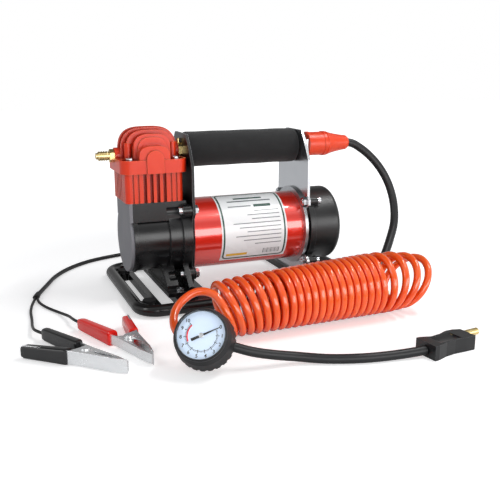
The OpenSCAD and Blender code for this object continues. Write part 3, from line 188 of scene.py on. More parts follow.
def surface(name, tones, roughness, patch, grain, relief, painted_edge=None, painted_slot_shade=None, **sockets):
    """A material in two tones that drift into each other in soft patches, whose roughness drifts
    with them, under a grain of bumps. Patch and grain are the sizes of those features and relief
    is the height of a bump, all in millimetres. The grain of a moulding, casting, coat or plating
    is 0.05 to 0.3 mm, too fine to show, so it is drawn at 0.6 mm or more. painted_edge gives the
    radius in millimetres of the rounded edges, the paler colour painted on them as a highlight,
    and how much of it shows. painted_slot_shade gives the width in millimetres of the slots that
    are painted darker as shade, and the colour painted there."""
    made = bpy.data.materials.new(name)
    made.use_nodes = True
    tree = made.node_tree
    shader = tree.nodes["Principled BSDF"]
    place = add(tree, "ShaderNodeTexCoord").outputs["Object"]
    drift = add(tree, "ShaderNodeTexNoise", {"Vector": place, "Scale": 1000 / patch,
                                             "Detail": 4.0}).outputs[0]
    colour = add(tree, "ShaderNodeMix", {0: drift, 6: linear(tones[0]), 7: linear(tones[1])},
                 data_type="RGBA").outputs[2]
    rough = add(tree, "ShaderNodeMapRange", {0: drift, 1: noise_low, 2: noise_high,
                                             3: roughness[0], 4: roughness[1]})
    fine = add(tree, "ShaderNodeTexNoise", {"Vector": place, "Scale": 1000 / grain, "Detail": 2.0})
    bump = add(tree, "ShaderNodeBump", {"Height": fine.outputs[0], "Distance": relief / 1000,
                                        "Strength": 1.0})
    # Painted shade: where the surroundings close in, in slots, between fins and between turns, the
    # colour darkens.
    if painted_slot_shade:
        width, painted_tone = painted_slot_shade
        opened = add(tree, "ShaderNodeAmbientOcclusion", {"Distance": width / 1000}, samples=6)
        slot_shade_share = add(tree, "ShaderNodeMapRange", {0: opened.outputs["AO"], 1: slot_shade_start_share,
                                                2: slot_shade_full_share, 3: 0.0, 4: 1.0})
        colour = add(tree, "ShaderNodeMix", {0: slot_shade_share.outputs[0], 6: colour, 7: linear(painted_tone)},
                     data_type="RGBA").outputs[2]
    # Painted highlight: where the rounded normal turns from the true one, along the edges, the
    # colour pales. The rounded normal also bends the shading there.
    if painted_edge:
        radius, painted_tone, share = painted_edge
        rounded = add(tree, "ShaderNodeBevel", {"Radius": radius / 1000}, samples=4).outputs[0]
        flat = add(tree, "ShaderNodeNewGeometry").outputs["Normal"]
        turned = add(tree, "ShaderNodeVectorMath", {0: rounded, 1: flat}, operation="DOT_PRODUCT")
        edge_highlight_share = add(tree, "ShaderNodeMapRange", {0: turned.outputs["Value"], 1: flat_cos,
                                                2: edge_highlight_full_cos, 3: 0.0, 4: share})
        colour = add(tree, "ShaderNodeMix", {0: edge_highlight_share.outputs[0], 6: colour, 7: linear(painted_tone)},
                     data_type="RGBA").outputs[2]
        tree.links.new(rounded, bump.inputs["Normal"])
    tree.links.new(colour, shader.inputs["Base Color"])
    tree.links.new(rough.outputs[0], shader.inputs["Roughness"])
    tree.links.new(bump.outputs[0], shader.inputs["Normal"])
    for key, value in sockets.items():
        shader.inputs[key.replace("_", " ")].default_value = value
    return made


def dress(material, *names):
    """Gives a material to CAD nodes."""
    for name in names:
        nodes[name].data.materials.clear()
        nodes[name].data.materials.append(material)


# Injection moulded and polished, so lamps show as soft bright patches; the pale lines along its
# edges are a painted highlight.
tray_abs = surface("tray_abs_moulded_black", ("#0b0b0c", "#121213"), (0.14, 0.24), 35, 2.5, 0.015,
                   painted_edge=(0.5, "#8b8f94", 0.55), Specular_IOR_Level=0.4)
# Soft moulded rubber, dull and slightly dusty, with a paler highlight painted along its edges.
mount_rubber = surface("mount_rubber_black", ("#141415", "#1e1e20"), (0.55, 0.7), 12, 0.8, 0.03,
                       painted_edge=(0.4, "#4c4d50", 0.4), Specular_IOR_Level=0.3)
# Barrel plated fasteners: bright, a little cloudy, with soft corners that are painted brighter
# as a highlight.
zinc = surface("zinc_plated_steel", ("#b9bcc1", "#d9dbde"), (0.14, 0.28), 4, 0.9, 0.006,
               painted_edge=(0.3, "#f4f5f6", 0.5), Metallic=1.0)
dress(tray_abs, "base_tray")
dress(mount_rubber, "base_feet")
dress(zinc, "base_screws", "flange_bolts", "rear_bolts", "head_screws")

# ---------------------------------------------------------------------------------------------
# The two brackets: bent steel plates that carry the motor between them and the handle on top.
# The pump's plate is black, the motor's is nickel plated, and so is the handle's
# tube, which is swaged into both.

# A smooth black finish with a faint ripple, and a paler highlight painted along its edges.
bracket_black = surface("bracket_plate_black", ("#0e0e0f", "#161617"), (0.26, 0.38), 30,
                         1.4, 0.02, painted_edge=(0.6, "#b4b8bd", 0.7), Specular_IOR_Level=0.35)
# Nickel plated over brushed sheet: a soft mirror that blurs the white surround, with a white
# highlight painted along its edges.
bracket_nickel = surface("bracket_nickel_plate", ("#c3c6ca", "#dadcdf"), (0.18, 0.28), 25, 3.0,
                         0.01, painted_edge=(0.4, "#ffffff", 0.5), Metallic=1.0)
dress(bracket_black, "pump_bracket")
dress(bracket_nickel, "motor_bracket", "handle_tube")

# ---------------------------------------------------------------------------------------------
# The pump: a black painted aluminium crankcase, a grey front cover pressed into it, and a red
# enamelled cast cylinder and head, which four zinc plated screws clamp over a brass valve plate.
# A brass relief valve stands out of the head, and a crank drives the piston inside.

# Die cast and sprayed satin black, with a broad soft shine along the round side, and a grey
# highlight painted along its edges.
case_paint = surface("crankcase_satin_black_paint", ("#0c0c0d", "#131315"), (0.22, 0.32), 30, 1.6,
                     0.03, painted_edge=(0.6, "#5c5e62", 0.35), Specular_IOR_Level=0.5)
# A sprayed steel disc, dull and even, with a paler highlight painted along its edges.
cover_paint = surface("front_cover_grey_paint", ("#747479", "#85858a"), (0.45, 0.58), 25, 0.9,
                      0.02, painted_edge=(0.5, "#a5a6aa", 0.5), Specular_IOR_Level=0.3)
# Thick red enamel over a sand-cast skin, which fills the grain. Its edges are painted orange as a
# highlight, and its slots and the gaps between its fins dark red as shade.
head_enamel = surface("head_red_enamel_on_casting", ("#e02c0c", "#ec4216"), (0.28, 0.4), 14, 1.1,
                      0.06, painted_edge=(0.6, "#ff8a4c", 0.6), painted_slot_shade=(10, "#9a120a"),
                      Specular_IOR_Level=0.3, Coat_Weight=0.25, Coat_Roughness=0.15)
# Turned and ground steel: clean, grey and bright, with its corners broken and painted paler as a
# highlight.
machined = surface("machined_steel", ("#a9acb0", "#c0c2c5"), (0.18, 0.3), 12, 0.6, 0.006,
                   painted_edge=(0.3, "#e8eaec", 0.4), Metallic=1.0)
# Brass as it leaves the lathe: pale gold, a little blurred by the tool's marks, with a paler
# highlight painted along its edges.
brass = surface("turned_brass", ("#e2c47c", "#f8e2a6"), (0.18, 0.3), 5, 0.6, 0.008,
                painted_edge=(0.3, "#fff6d8", 0.6), Metallic=1.0)
# Cast aluminium with a satin, slightly grey skin.
piston_alloy = surface("piston_alloy", ("#b5b8bb", "#c8cacc"), (0.3, 0.42), 10, 0.7, 0.01,
                       Metallic=1.0)
# Filled PTFE: waxy and off-white.
ptfe = surface("ring_ptfe", ("#d9d6cc", "#e6e3da"), (0.4, 0.5), 10, 0.7, 0.01)
dress(case_paint, "crankcase")
dress(cover_paint, "front_cover")
dress(head_enamel, "cylinder", "cylinder_head")
dress(machined, "cylinder_liner", "wrist_pin", "crank", "motor_bearings", "motor_shaft")
dress(brass, "valve_plate", "safety_valve", "hose_joint", "chuck_tip", "outlet_fitting")
dress(piston_alloy, "piston", "connecting_rod")
dress(ptfe, "piston_ring")

# ---------------------------------------------------------------------------------------------
# The motor: a drawn steel can in candy red lacquer with ferrite magnets inside, a wound
# armature, a copper commutator with carbon brushes, a cast rear bell, and a black moulded cover
# with the switch. A printed film label is stuck round its front.

# Clear red over a bright base coat under a clear coat: deep in the shade, orange in the light.
# A paler highlight is painted along its edges.
can_lacquer = surface("can_candy_red_lacquer", ("#e6281a", "#f23622"), (0.2, 0.28), 60, 4.0, 0.01,
                      painted_edge=(0.5, "#ff7a66", 0.4), Metallic=0.3, Coat_Weight=1.0,
                      Coat_Roughness=0.07, Coat_IOR=1.8)
# White polyester film, flat and lightly glossed, that takes the can's curve, with a white
# highlight painted along its edges.
label_film = surface("label_film_white", ("#f2f5f6", "#fcfdfd"), (0.22, 0.32), 30, 1.5, 0.008,
                     painted_edge=(0.2, "#ffffff", 0.5))
# Pressed and fired ferrite: dull, dark and a little grainy.
ferrite = surface("magnet_ferrite", ("#2d2d2f", "#3a3a3c"), (0.5, 0.6), 12, 0.8, 0.02)
# Stamped sheets stacked edge on, so the steel reads as fine grey.
laminated = surface("core_laminations", ("#7f8183", "#97999b"), (0.3, 0.45), 8, 0.7, 0.02,
                    Metallic=1.0)
# Drawn copper bars, turned true, with a warm satin shine.
copper = surface("commutator_copper", ("#b8663c", "#c87a4e"), (0.22, 0.35), 8, 0.6, 0.01,
                 Metallic=1.0)
# Die cast and tumbled, left bare: pale grey, with brighter edges painted as a highlight.
bell_alloy = surface("bell_die_cast_alloy", ("#a9acaf", "#c3c5c8"), (0.25, 0.4), 15, 0.9, 0.03,
                     painted_edge=(0.4, "#eceded", 0.5), Metallic=1.0)
# Pressed carbon, dull and black grey.
carbon = surface("brush_carbon", ("#2a2a2b", "#343435"), (0.45, 0.55), 6, 0.6, 0.01)
# Spark-eroded mould, so the plastic has an even fine texture and a wide grey shine, and a grey
# highlight is painted along its edges.
cover_abs = surface("rear_cover_abs_textured_black", ("#0e0e0f", "#171718"), (0.3, 0.4), 25, 1.1,
                    0.04, painted_edge=(0.6, "#55575a", 0.45), Specular_IOR_Level=0.5)
# Moulded nylon, polished where a finger presses it, and painted paler along its edges as a
# highlight.
rocker_nylon = surface("rocker_nylon_black", ("#0c0c0d", "#141415"), (0.2, 0.3), 10, 0.8, 0.01,
                       painted_edge=(0.3, "#505256", 0.4), Specular_IOR_Level=0.4)
dress(can_lacquer, "motor_can")
dress(label_film, "motor_label")
dress(ferrite, "motor_magnets")
dress(laminated, "armature")
dress(copper, "commutator")
dress(bell_alloy, "rear_bell")
dress(carbon, "brushes")
dress(cover_abs, "rear_cover", "cable_gland")
dress(rocker_nylon, "switch_rocker")


def skin(name, grid, material, body, slot, looped=False):
    """A quad skin over grid[i, j], the point j of ring i. Every ring closes on itself. Looped
    rings close the last on the first; otherwise a fan to its middle closes each end ring."""
    rings, count = grid.shape[:2]
    points = grid.reshape(-1, 3)
    i, j = np.mgrid[: rings if looped else rings - 1, :count]
    next_i, next_j = (i + 1) % rings * count, (j + 1) % count
    faces = np.stack([i * count + j, i * count + next_j, next_i + next_j, next_i + j], -1)
    faces = faces.reshape(-1, 4).tolist()
    if not looped:
        middles = grid[[0, -1]].mean(1)
        start = np.array([0, (rings - 1) * count])[:, None] + np.arange(count)
        ahead = np.roll(start, -1, 1)
        middle = len(points) + np.arange(2)[:, None] + 0 * start
        faces += np.stack([start, ahead, middle], -1).reshape(-1, 3).tolist()
        points = np.vstack([points, middles])
    return solid(name, points, faces, material, body, slot)


def solid(name, points, faces, material, body, slot):
    """An object from points and faces, its faces turned outwards and its edges over 40 degrees
    sharp."""
    mesh = bpy.data.meshes.new(name)
    mesh.from_pydata(np.asarray(points).tolist(), [], faces)
    shell = bmesh.new()
    shell.from_mesh(mesh)
    bmesh.ops.recalc_face_normals(shell, faces=shell.faces[:])
    shell.to_mesh(mesh)
    shell.free()
    mesh.shade_smooth()
    mesh.set_sharp_from_angle(angle=np.radians(40))
    mesh.materials.append(material)
    made = bpy.data.objects.new(name, mesh)
    bpy.context.scene.collection.objects.link(made)
    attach(made, body)
    return made


def plates(corners, low, high, bend):
    """Points and faces of thin plates: corners[n, c] is corner c of plate n on a flat sheet, low
    and high are the heights of its two faces, and bend places (x, y, height) in the object."""
    count = corners.shape[1]
    points = np.concatenate([bend(corners[..., 0], corners[..., 1], level + 0 * corners[..., 0])
                             for level in (low, high)], 1)
    ring = np.arange(count)
    after = np.roll(ring, -1)
    sides = np.stack([ring, after, after + count, ring + count], 1)
    first = (np.arange(len(corners)) * 2 * count)[:, None]
    lids = (first + ring).tolist() + (first + count + ring).tolist()
    return points.reshape(-1, 3), (first[..., None] + sides).reshape(-1, 4).tolist() + lids


# The label's place: the can's axis, the radius of its face, and the middle of its sheet.
can_axis, label_r = 0.057, 0.03532
label_x, label_turn = 0.01695, np.radians(22.0)


def on_can(across, up, out):
    """Wraps a flat sheet round the front of the can: across runs along it, up runs round it."""
    turn = label_turn + up / label_r
    return np.stack([label_x + across, -(label_r + out) * np.cos(turn),
                     can_axis + (label_r + out) * np.sin(turn)], -1)


def bars(*marks):
    """Corners of flat bars, each given by the place of its middle, across and up, and by its
    width and height, and cut into four along its height so that it can be bent."""
    across, up, wide, tall = np.array(marks)[:, :, None, None].transpose(1, 0, 2, 3)
    cell = np.arange(4)[:, None] / 4 - 0.5
    x = across + wide * (np.array([-1, 1, 1, -1]) / 2 + 0 * cell)
    y = up + tall * (cell + np.array([0, 0, 1, 1]) / 4)
    return np.stack([x, y], -1).reshape(-1, 4, 2)


def cut_long(ring):
    """A closed ring of points with every span cut into forty, so that it can be bent."""
    share = np.arange(40)[:, None, None] / 40
    cut = ring * (1 - share) + np.roll(ring, -1, 0) * share
    return cut.transpose(1, 0, 2).reshape(-1, 2)


def framed(width, height, corner, line, count):
    """Corners of the short plates that make the outline of a rectangle with rounded corners."""
    turn = np.linspace(0, 2 * np.pi, 4 * count, endpoint=False) + np.pi / 4 / count
    aim = np.stack([np.cos(turn), np.sin(turn)], 1)
    middle = np.sign(aim) * [width / 2 - corner, height / 2 - corner]
    outer, inner = cut_long(middle + corner * aim), cut_long(middle + (corner - line) * aim)
    return np.stack([outer, np.roll(outer, -1, 0), np.roll(inner, -1, 0), inner], 1)


# Screen printed on the film: a green border, bars and fine grey rules, with no words. The inks
# lie flat and a little duller than the film.
green_ink = surface("label_ink_green", ("#123f33", "#1b4d3f"), (0.3, 0.4), 10, 0.8, 0.004)
yellow_ink = surface("label_ink_yellow", ("#e8b21c", "#f2c233"), (0.3, 0.4), 10, 0.8, 0.004)
grey_ink = surface("label_ink_grey", ("#6a7072", "#7b8183"), (0.3, 0.4), 10, 0.8, 0.004)
label_w, label_h, label_ink = 0.0689, np.radians(133) * label_r, 0.00008
margin, corner_r, border_line, corner_steps = 0.0015, 0.005, 0.0017, 6
border = framed(label_w - 2 * margin, label_h - 2 * margin, corner_r, border_line, corner_steps)
headings = bars((0, 0.029, 0.030, 0.0022), (0.012, 0.0175, 0.018, 0.0032))
# The rules stand in rows that end on one line, over thirteen short upright strokes.
rules_end, rules_top, row_step, rule_line = 0.028, 0.0115, 0.0042, 0.0008
rules = [(rules_end - wide / 2, rules_top - row_step * row, wide, rule_line) for row, wide in
         enumerate((0.026, 0.034, 0.030, 0.050, 0.044, 0.036, 0.048, 0.040, 0.028))]
strokes_x, strokes_y, stroke_step, stroke_line, stroke_h = 0.010, -0.0315, 0.0014, 0.0004, 0.006
strokes = [(strokes_x + stroke_step * n, strokes_y, stroke_line * (1 + (n % 3 == 0)), stroke_h)
           for n in range(13)]
grey = bars((0, 0.0245, 0.046, 0.0016), (-0.012, 0.0175, 0.024, 0.0012), *rules, *strokes)
for name, ink, sheet in (("label_border", green_ink, np.concatenate([headings, border])),
                         ("label_bar", yellow_ink, bars((-0.018, -0.0335, 0.022, 0.003))),
                         ("label_rules", grey_ink, grey)):
    solid(name, *plates(sheet, 0.0, label_ink, on_can), ink, "root", "label_film")

# ---------------------------------------------------------------------------------------------
# The handle: a black nitrile foam sleeve with rounded ends, pushed over the steel tube that also
# carries the air from the head to the hose.

# Closed-cell foam: matt, with fine open pores cut by the skin of the mould.
foam = surface("grip_nitrile_foam_black", ("#111112", "#1d1d1e"), (0.75, 0.9), 5, 0.8, 0.18,
               Specular_IOR_Level=0.25, Sheen_Weight=0.15, Sheen_Roughness=0.6)
(grip_from, _, grip_low), (grip_to, _, grip_high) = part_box("foam_grip")
grip_r, handle_z = (grip_high - grip_low) / 2, (grip_high + grip_low) / 2
bore, round_r, skin_wave = 0.0071, 0.003, 0.00012
quarter = np.linspace(0, np.pi / 2, 7)
near_end = np.stack([grip_from + round_r * (1 - np.cos(quarter)),
                     grip_r - round_r * (1 - np.sin(quarter))], 1)
far_end = near_end[::-1] * [-1, 1] + [grip_from + grip_to, 0]
side = np.stack([np.linspace(grip_from + round_r, grip_to - round_r, 60)[1:-1],
                 np.full(58, grip_r)], 1)
profile = np.vstack([[[grip_from, bore]], near_end, side, far_end, [[grip_to, bore]]])
# Each point of the profile swings round the tube's line. The moulded skin is uneven: outside the
# bore, it swells by skin_wave * sin(190 x + 2 sin(3 turn)), with x in metres.
along, radius = profile[:, :1], profile[:, 1:]
turn = np.linspace(0, 2 * np.pi, 96, endpoint=False)
swell = skin_wave * np.sin(along * 190 + 2 * np.sin(3 * turn)) * (radius > bore + 0.002)
reach = radius - skin_wave + swell
grip = skin("grip_foam_sleeve",
            np.stack([along + 0 * turn, reach * np.cos(turn), handle_z + reach * np.sin(turn)], -1),
            foam, "root", "grip_foam", looped=True)
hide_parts("foam_grip")

# ---------------------------------------------------------------------------------------------
# The coupler: a nickel plated hex nut, a moulded orange collar that turns on it, and a tapered
# orange boot that keeps the hose from kinking.

# Plated over turned steel: a clear mirror on the flats, with its corners painted bright as a
# highlight.
nickel = surface("nut_nickel_plate", ("#aeb1b4", "#d0d2d4"), (0.14, 0.26), 5, 0.8, 0.006,
                 painted_edge=(0.3, "#f4f5f6", 0.5), Metallic=1.0)
# Moulded nylon, satin, with light soaking a little way into its edges, and a paler highlight
# painted along them.
collar_nylon = surface("collar_nylon_orange", ("#e2380f", "#ee4a1c"), (0.3, 0.42), 12, 0.9, 0.02,
                       painted_edge=(0.5, "#fb8660", 0.5), Subsurface_Weight=0.1, Subsurface_Scale=0.002)
dress(nickel, "coupler_nut")
dress(collar_nylon, "coupler_collar", "hose_boot")

# ---------------------------------------------------------------------------------------------
# The hoses: a stiff black rubber lead, the long polyurethane coil wound on a mandrel with a
# straight tail at each end, and a short black rubber hose from the gauge to the chuck.


def metres(*points):
    """Points in millimetres as metres."""
    return np.array(points, float) / 1000


def cord_curve(name, route, diameter, material, slot, *replaced):
    """A round cord along a route: one open spline through its points, swept by a circle. A point's
    handles lie a third of the way to its neighbours, along the two spans' mean direction, in which
    the shorter span counts for more."""
    span = np.diff(route, axis=0)
    far = np.linalg.norm(span, axis=1)[:, None]
    way = span / far
    back, ahead = np.vstack([way[:1], way]), np.vstack([way, way[-1:]])
    far_back, far_ahead = np.vstack([far[:1], far]), np.vstack([far, far[-1:]])
    lean = back / far_back + ahead / far_ahead
    lean /= np.linalg.norm(lean, axis=1)[:, None]
    curve = bpy.data.curves.new(name, "CURVE")
    curve.dimensions = "3D"
    curve.bevel_depth = diameter / 2
    curve.bevel_resolution = 4
    curve.resolution_u = 4
    curve.use_fill_caps = True
    spline = curve.splines.new("BEZIER")
    spline.bezier_points.add(len(route) - 1)
    spline.bezier_points.foreach_set("co", np.ravel(route))
    spline.bezier_points.foreach_set("handle_left", np.ravel(route - lean * far_back / 3))
    spline.bezier_points.foreach_set("handle_right", np.ravel(route + lean * far_ahead / 3))
    curve.materials.append(material)
    made = bpy.data.objects.new(name, curve)
    bpy.context.scene.collection.objects.link(made)
    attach(made, "root")
    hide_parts(*replaced)
    return made


# Extruded rubber over braid: dark, smooth and dull, with a soft line of light along it.
hose_rubber = surface("hose_rubber_black", ("#161617", "#222224"), (0.36, 0.48), 20, 0.8, 0.02,
                      Specular_IOR_Level=0.35)
lead_route = metres((111.8, 0, 140), (134.8, 0, 140), (141.5, -1, 138.6), (150.9, -4, 133),
                    (161.1, -8, 123.9), (171.1, -13, 110.7), (178.6, -18, 94.3), (181, -25, 75.7),
                    (176.9, -34, 57.1), (166.5, -44, 42.5), (154, -55, 29.5), (142.5, -64.5, 18.5),
                    (132, -73, 11), (124, -80, 7.2), (120.8, -84.5, 6.2), (120, -88, 6))
lead = cord_curve("lead_hose_rubber", lead_route, 0.0085, hose_rubber, "hose_rubber", "lead_hose")

# Extruded clear polyurethane with pigment: light soaks in a little and the skin is glassy. The
# gaps between the turns are painted a deeper red as shade.
urethane = surface("coil_polyurethane_orange", ("#f4500c", "#fd6a1c"), (0.12, 0.2), 30, 3.0, 0.01,
                   painted_slot_shade=(7, "#d8260e"), Subsurface_Weight=0.4, Subsurface_Scale=0.0025,
                   Subsurface_Radius=(1.0, 0.3, 0.1), Coat_Weight=0.6, Coat_Roughness=0.05)
# The turns, in millimetres: side by side, with the first seven leaning over to the left, by 20
# degrees down to none, and the last four to the right, up to 38. The foot of a turn moves along
# the floor by pitch / cos(lean), so that leaning turns just clear each other there, and its ring
# stands on that foot, leaning by lean.
coil_tube, pitch, off_floor, points_per_turn = 6.6, 6.75, 0.7, 24
upright, fanned, drooping, lean_right, lean_left = 20.375, 4.0, 7, 38, 20
count = np.linspace(0, upright + fanned, int((upright + fanned) * points_per_turn) + 1)
spread, drooped = np.clip((count - upright) / fanned, 0, 1), np.clip(1 - count / drooping, 0, 1)
lean = np.radians(lean_right * spread - lean_left * drooped)
turn = np.radians(45) - 2 * np.pi * count
foot = -51 + np.append(0, np.cumsum(np.diff(count) * pitch / np.cos(lean[1:])))
# The mandrel widens to the right. The row of turns runs a little back to the right, up to where
# the last ones swing further back.
slim_at, slim_across, widening = -54, 50, 7 / 172
row_from, row_to, row_y, row_skew, swing_back = -58, 86, -144.2, 6.5 / 144, 8
outside = slim_across + widening * (foot - slim_at)
ring_r = outside / 2 - coil_tube / 2
middle_y = row_y + row_skew * (np.minimum(foot, row_to) - row_from) + swing_back * spread**2
up_ring = outside / 2 + ring_r * np.sin(turn)
helix = np.stack([foot + up_ring * np.sin(lean), middle_y - ring_r * np.cos(turn),
                  off_floor + up_ring * np.cos(lean)], 1)
left_tail = np.array([(-67.2, -155.7, 41.8), (-70.8, -152.6, 43.7), (-75.1, -150.3, 44.5),
                      (-79.9, -148.9, 44.2), (-84.8, -148.6, 42.7), (-89.6, -149.4, 40.4),
                      (-96.5, -153, 36.4), (-101.8, -159, 31.8), (-104.3, -166, 26.4),
                      (-104, -175, 22.3), (-100.5, -184.9, 19.5)])
right_tail = np.array([(119.9, -124.6, 3.6), (120.3, -117.8, 4.5), (120, -110, 6)])
coil_route = np.vstack([right_tail[::-1], helix[::-1], left_tail]) / 1000
coil = cord_curve("coil_hose_urethane", coil_route, coil_tube / 1000, urethane, "coil_urethane",
                  "coil_hose", "coil_tail")

chuck_route = metres((-72, -205, 18), (-58, -210, 13.5), (-42, -212.5, 9.5), (-24, -214.5, 6),
                     (-2, -223, 4), (24, -232, 3.9), (50, -236, 3.9), (64, -238, 4.6),
                     (75.8, -239.5, 5.5))
chuck_line = cord_curve("chuck_hose_rubber", chuck_route, 0.0075, hose_rubber, "hose_rubber",
                        "chuck_hose")

# ---------------------------------------------------------------------------------------------
# The gauge and the chuck: a printed dial under a clear lens in a ribbed black rubber boot, and a
# black nylon chuck with a turned brass tip.

# Moulded rubber, dull, with the tops of its ribs painted a little paler as a highlight.
boot_rubber = surface("gauge_boot_rubber_black", ("#161617", "#232325"), (0.42, 0.56), 14, 0.9,
                      0.04, painted_edge=(0.5, "#4a4b4e", 0.5), Specular_IOR_Level=0.35)
# Stove enamel on sheet: an even cool white.
dial_plate = surface("gauge_dial_enamel_white", ("#bfd2ea", "#d3e2f4"), (0.3, 0.4), 20, 1.5, 0.005)
# A stamped pointer, sprayed satin black.
needle_paint = surface("gauge_needle_black_paint", ("#0b0b0c", "#141414"), (0.35, 0.45), 5, 0.8,
                       0.005)
# Moulded clear and polished: only its shine shows. It is thin, so its IOR is drawn low.
lens = surface("gauge_lens_polycarbonate", ("#ffffff", "#ffffff"), (0.01, 0.02), 30, 9.0, 0.0005,
               Transmission_Weight=1.0, IOR=1.08)
# Glass-filled nylon from a polished mould: black, with a satin shine and a paler highlight painted
# along its edges.
chuck_nylon = surface("chuck_nylon_black", ("#101011", "#19191b"), (0.26, 0.38), 12, 0.9, 0.02,
                      painted_edge=(0.4, "#6a6e75", 0.5), Specular_IOR_Level=0.5)
dress(boot_rubber, "gauge_boot")
dress(dial_plate, "gauge_dial")
dress(needle_paint, "gauge_needle")
dress(lens, "gauge_lens")
dress(chuck_nylon, "chuck_body")

# The dial's frame: the middle of the gauge's back, the ways to the right, out and up, the height
# of the dial's face over that back, and in degrees the angle of nought and the whole sweep.
gauge_back = metres((-87, -192, 19.44))[0]
dial_right = np.array([0.8660, -0.5, 0.0])
dial_out = np.array([-0.4193, -0.7263, 0.5446])
dial_up = np.cross(dial_out, dial_right)
dial_z, dial_zero, dial_sweep = 0.01962, 27.0, 250.0


def on_dial(across, up, out):
    """Lays a flat sheet on the face of the dial."""
    return (gauge_back + across[..., None] * dial_right + up[..., None] * dial_up
            + (dial_z + out)[..., None] * dial_out)


def ticks(angles, inner, outer, width):
    """Corners of straight marks that point at the dial's middle, at angles in degrees."""
    a = np.radians(angles)[:, None]
    out = np.array([inner, outer, outer, inner])
    side = np.array([-1, -1, 1, 1]) * width / 2
    return np.stack([out * np.cos(a) - side * np.sin(a), out * np.sin(a) + side * np.cos(a)], -1)


def arc(begin, end, inner, outer):
    """Corners of short plates along an arc, one for every two degrees."""
    a = np.radians(np.linspace(begin, end, int(abs(end - begin) / 2) + 1))
    a = np.stack([a[:-1], a[:-1], a[1:], a[1:]], 1)
    out = np.array([inner, outer, outer, inner])
    return np.stack([out * np.cos(a), out * np.sin(a)], -1)


# Pad printed, flat and satin: a black scale in tenths with its numbers, and a red warning band
# over its end. The line, the marks and the band each have an inner and an outer radius.
black_ink = surface("dial_ink_black", ("#161a20", "#20252c"), (0.3, 0.4), 6, 0.8, 0.003)
red_ink = surface("dial_ink_red", ("#d3232e", "#e0303a"), (0.3, 0.4), 6, 0.8, 0.003)
last, tenth, band_sweep, dial_ink = dial_zero - dial_sweep, 25, 70, 0.00006
line_r, band_r = (0.0112, 0.01145), (0.0100, 0.0110)
short_r, short_w, long_r, long_w = (0.0113, 0.0124), 0.00028, (0.0105, 0.0132), 0.0005
scale = np.concatenate([arc(dial_zero, last, *line_r),
                        ticks(np.arange(dial_zero, last - 1, -tenth / 5), *short_r, short_w),
                        ticks(np.arange(dial_zero, last - 1, -tenth), *long_r, long_w)])
band = arc(last + band_sweep, last, *band_r)
solid("dial_scale", *plates(scale, 0.0, dial_ink, on_dial), black_ink, "root", "needle_paint")
solid("dial_red_band", *plates(band, 0.0, dial_ink, on_dial), red_ink, "root", "needle_paint")
# A numeral is a text curve, half_ink thick on each side and made bolder by its offset. Its mesh is
# laid on the dial at number_r from the middle.
number_r, number_h, half_ink, bolder = 0.0152, 0.0036, 0.00003, 0.00008
for number in range(11):
    letter = bpy.data.curves.new("numeral", "FONT")
    letter.body, letter.size, letter.extrude = str(number), number_h, half_ink
    letter.offset, letter.align_x, letter.align_y = bolder, "CENTER", "CENTER"
    written = bpy.data.objects.new("numeral", letter)
    bpy.context.scene.collection.objects.link(written)
    bpy.context.view_layer.update()
    graph = bpy.context.evaluated_depsgraph_get()
    drawn = bpy.data.meshes.new_from_object(written.evaluated_get(graph))
    flat = np.empty(3 * len(drawn.vertices))
    drawn.vertices.foreach_get("co", flat)
    across, up, out = flat.reshape(-1, 3).T
    turn = np.radians(dial_zero - tenth * number)
    points = on_dial(across + number_r * np.cos(turn), up + number_r * np.sin(turn), out + half_ink)
    solid(f"dial_number_{number}", points, [list(face.vertices) for face in drawn.polygons],
          black_ink, "root", "needle_paint")
    bpy.data.objects.remove(written)

# The hub's cap is a turned nickel button on the needle: a disc whose rim is rounded over.
turn = np.linspace(0, 2 * np.pi, 32, endpoint=False)
rim = np.array([(0.0018, 0.0009), (0.0019, 0.00098), (0.0018, 0.00108), (0.0014, 0.00114)])
rim_r, rim_out = rim[:, :1], rim[:, 1:] + 0 * turn
skin("needle_hub_cap", on_dial(rim_r * np.cos(turn), rim_r * np.sin(turn), rim_out), nickel,
     "needle", "needle_paint")

# ---------------------------------------------------------------------------------------------
# The supply cable: a round black PVC cable from the rear cover, whose spare length is wound in a
# tied coil behind the motor, and which parts under a shrunk sleeve into two wires for the clamps.

# Extruded soft PVC: smooth and satin.
cable_vinyl = surface("cable_pvc_black", ("#101011", "#19191a"), (0.32, 0.44), 18, 0.8, 0.015,
                      Specular_IOR_Level=0.35)
into_coil = np.array([(97.5, 50, 43), (97.5, 58, 41), (97.5, 67, 31), (97, 74, 18.5),
                      (96, 80, 14.8), (93.5, 86, 10.5), (91, 92, 6), (86, 98, 3.4), (79, 107, 2.6),
                      (72, 116.5, 2.6)])
out_of_coil = np.array([(23, 166.2, 14.6), (8, 166.5, 9.5), (-6, 165.5, 5), (-20, 163, 2.8),
                        (-40, 158.5, 2.4), (-62, 152, 2.4), (-80, 146, 2.4), (-98, 140, 2.4),
                        (-116, 132, 2.4), (-134, 119, 2.4), (-150, 102, 2.4), (-164, 80, 2.4),
                        (-175, 54, 2.4), (-188, 22, 2.4)])
# The stored coil has three rings in each of four layers, whose turns lie a layer_up apart. In the
# last fifth of a turn the cable steps over smoothly, by 3 s^2 - 2 s^3, to the next ring or layer.
cable_d, layer_up, rings, layers, step_over = 4.2, 4.3, 3, 4, 0.2
coil_x, coil_y, coil_r, coil_z = 34, 132, 31.4, 3.0
turn = np.arange(0, rings * layers + 0.25 + 1e-9, 1 / 16)
whole = np.minimum(np.floor(turn), rings * layers - 1)
following = np.minimum(whole + 1, rings * layers - 1)
shift = np.clip((turn - whole - (1 - step_over)) / step_over, 0, 1)
shift = shift**2 * (3 - 2 * shift)


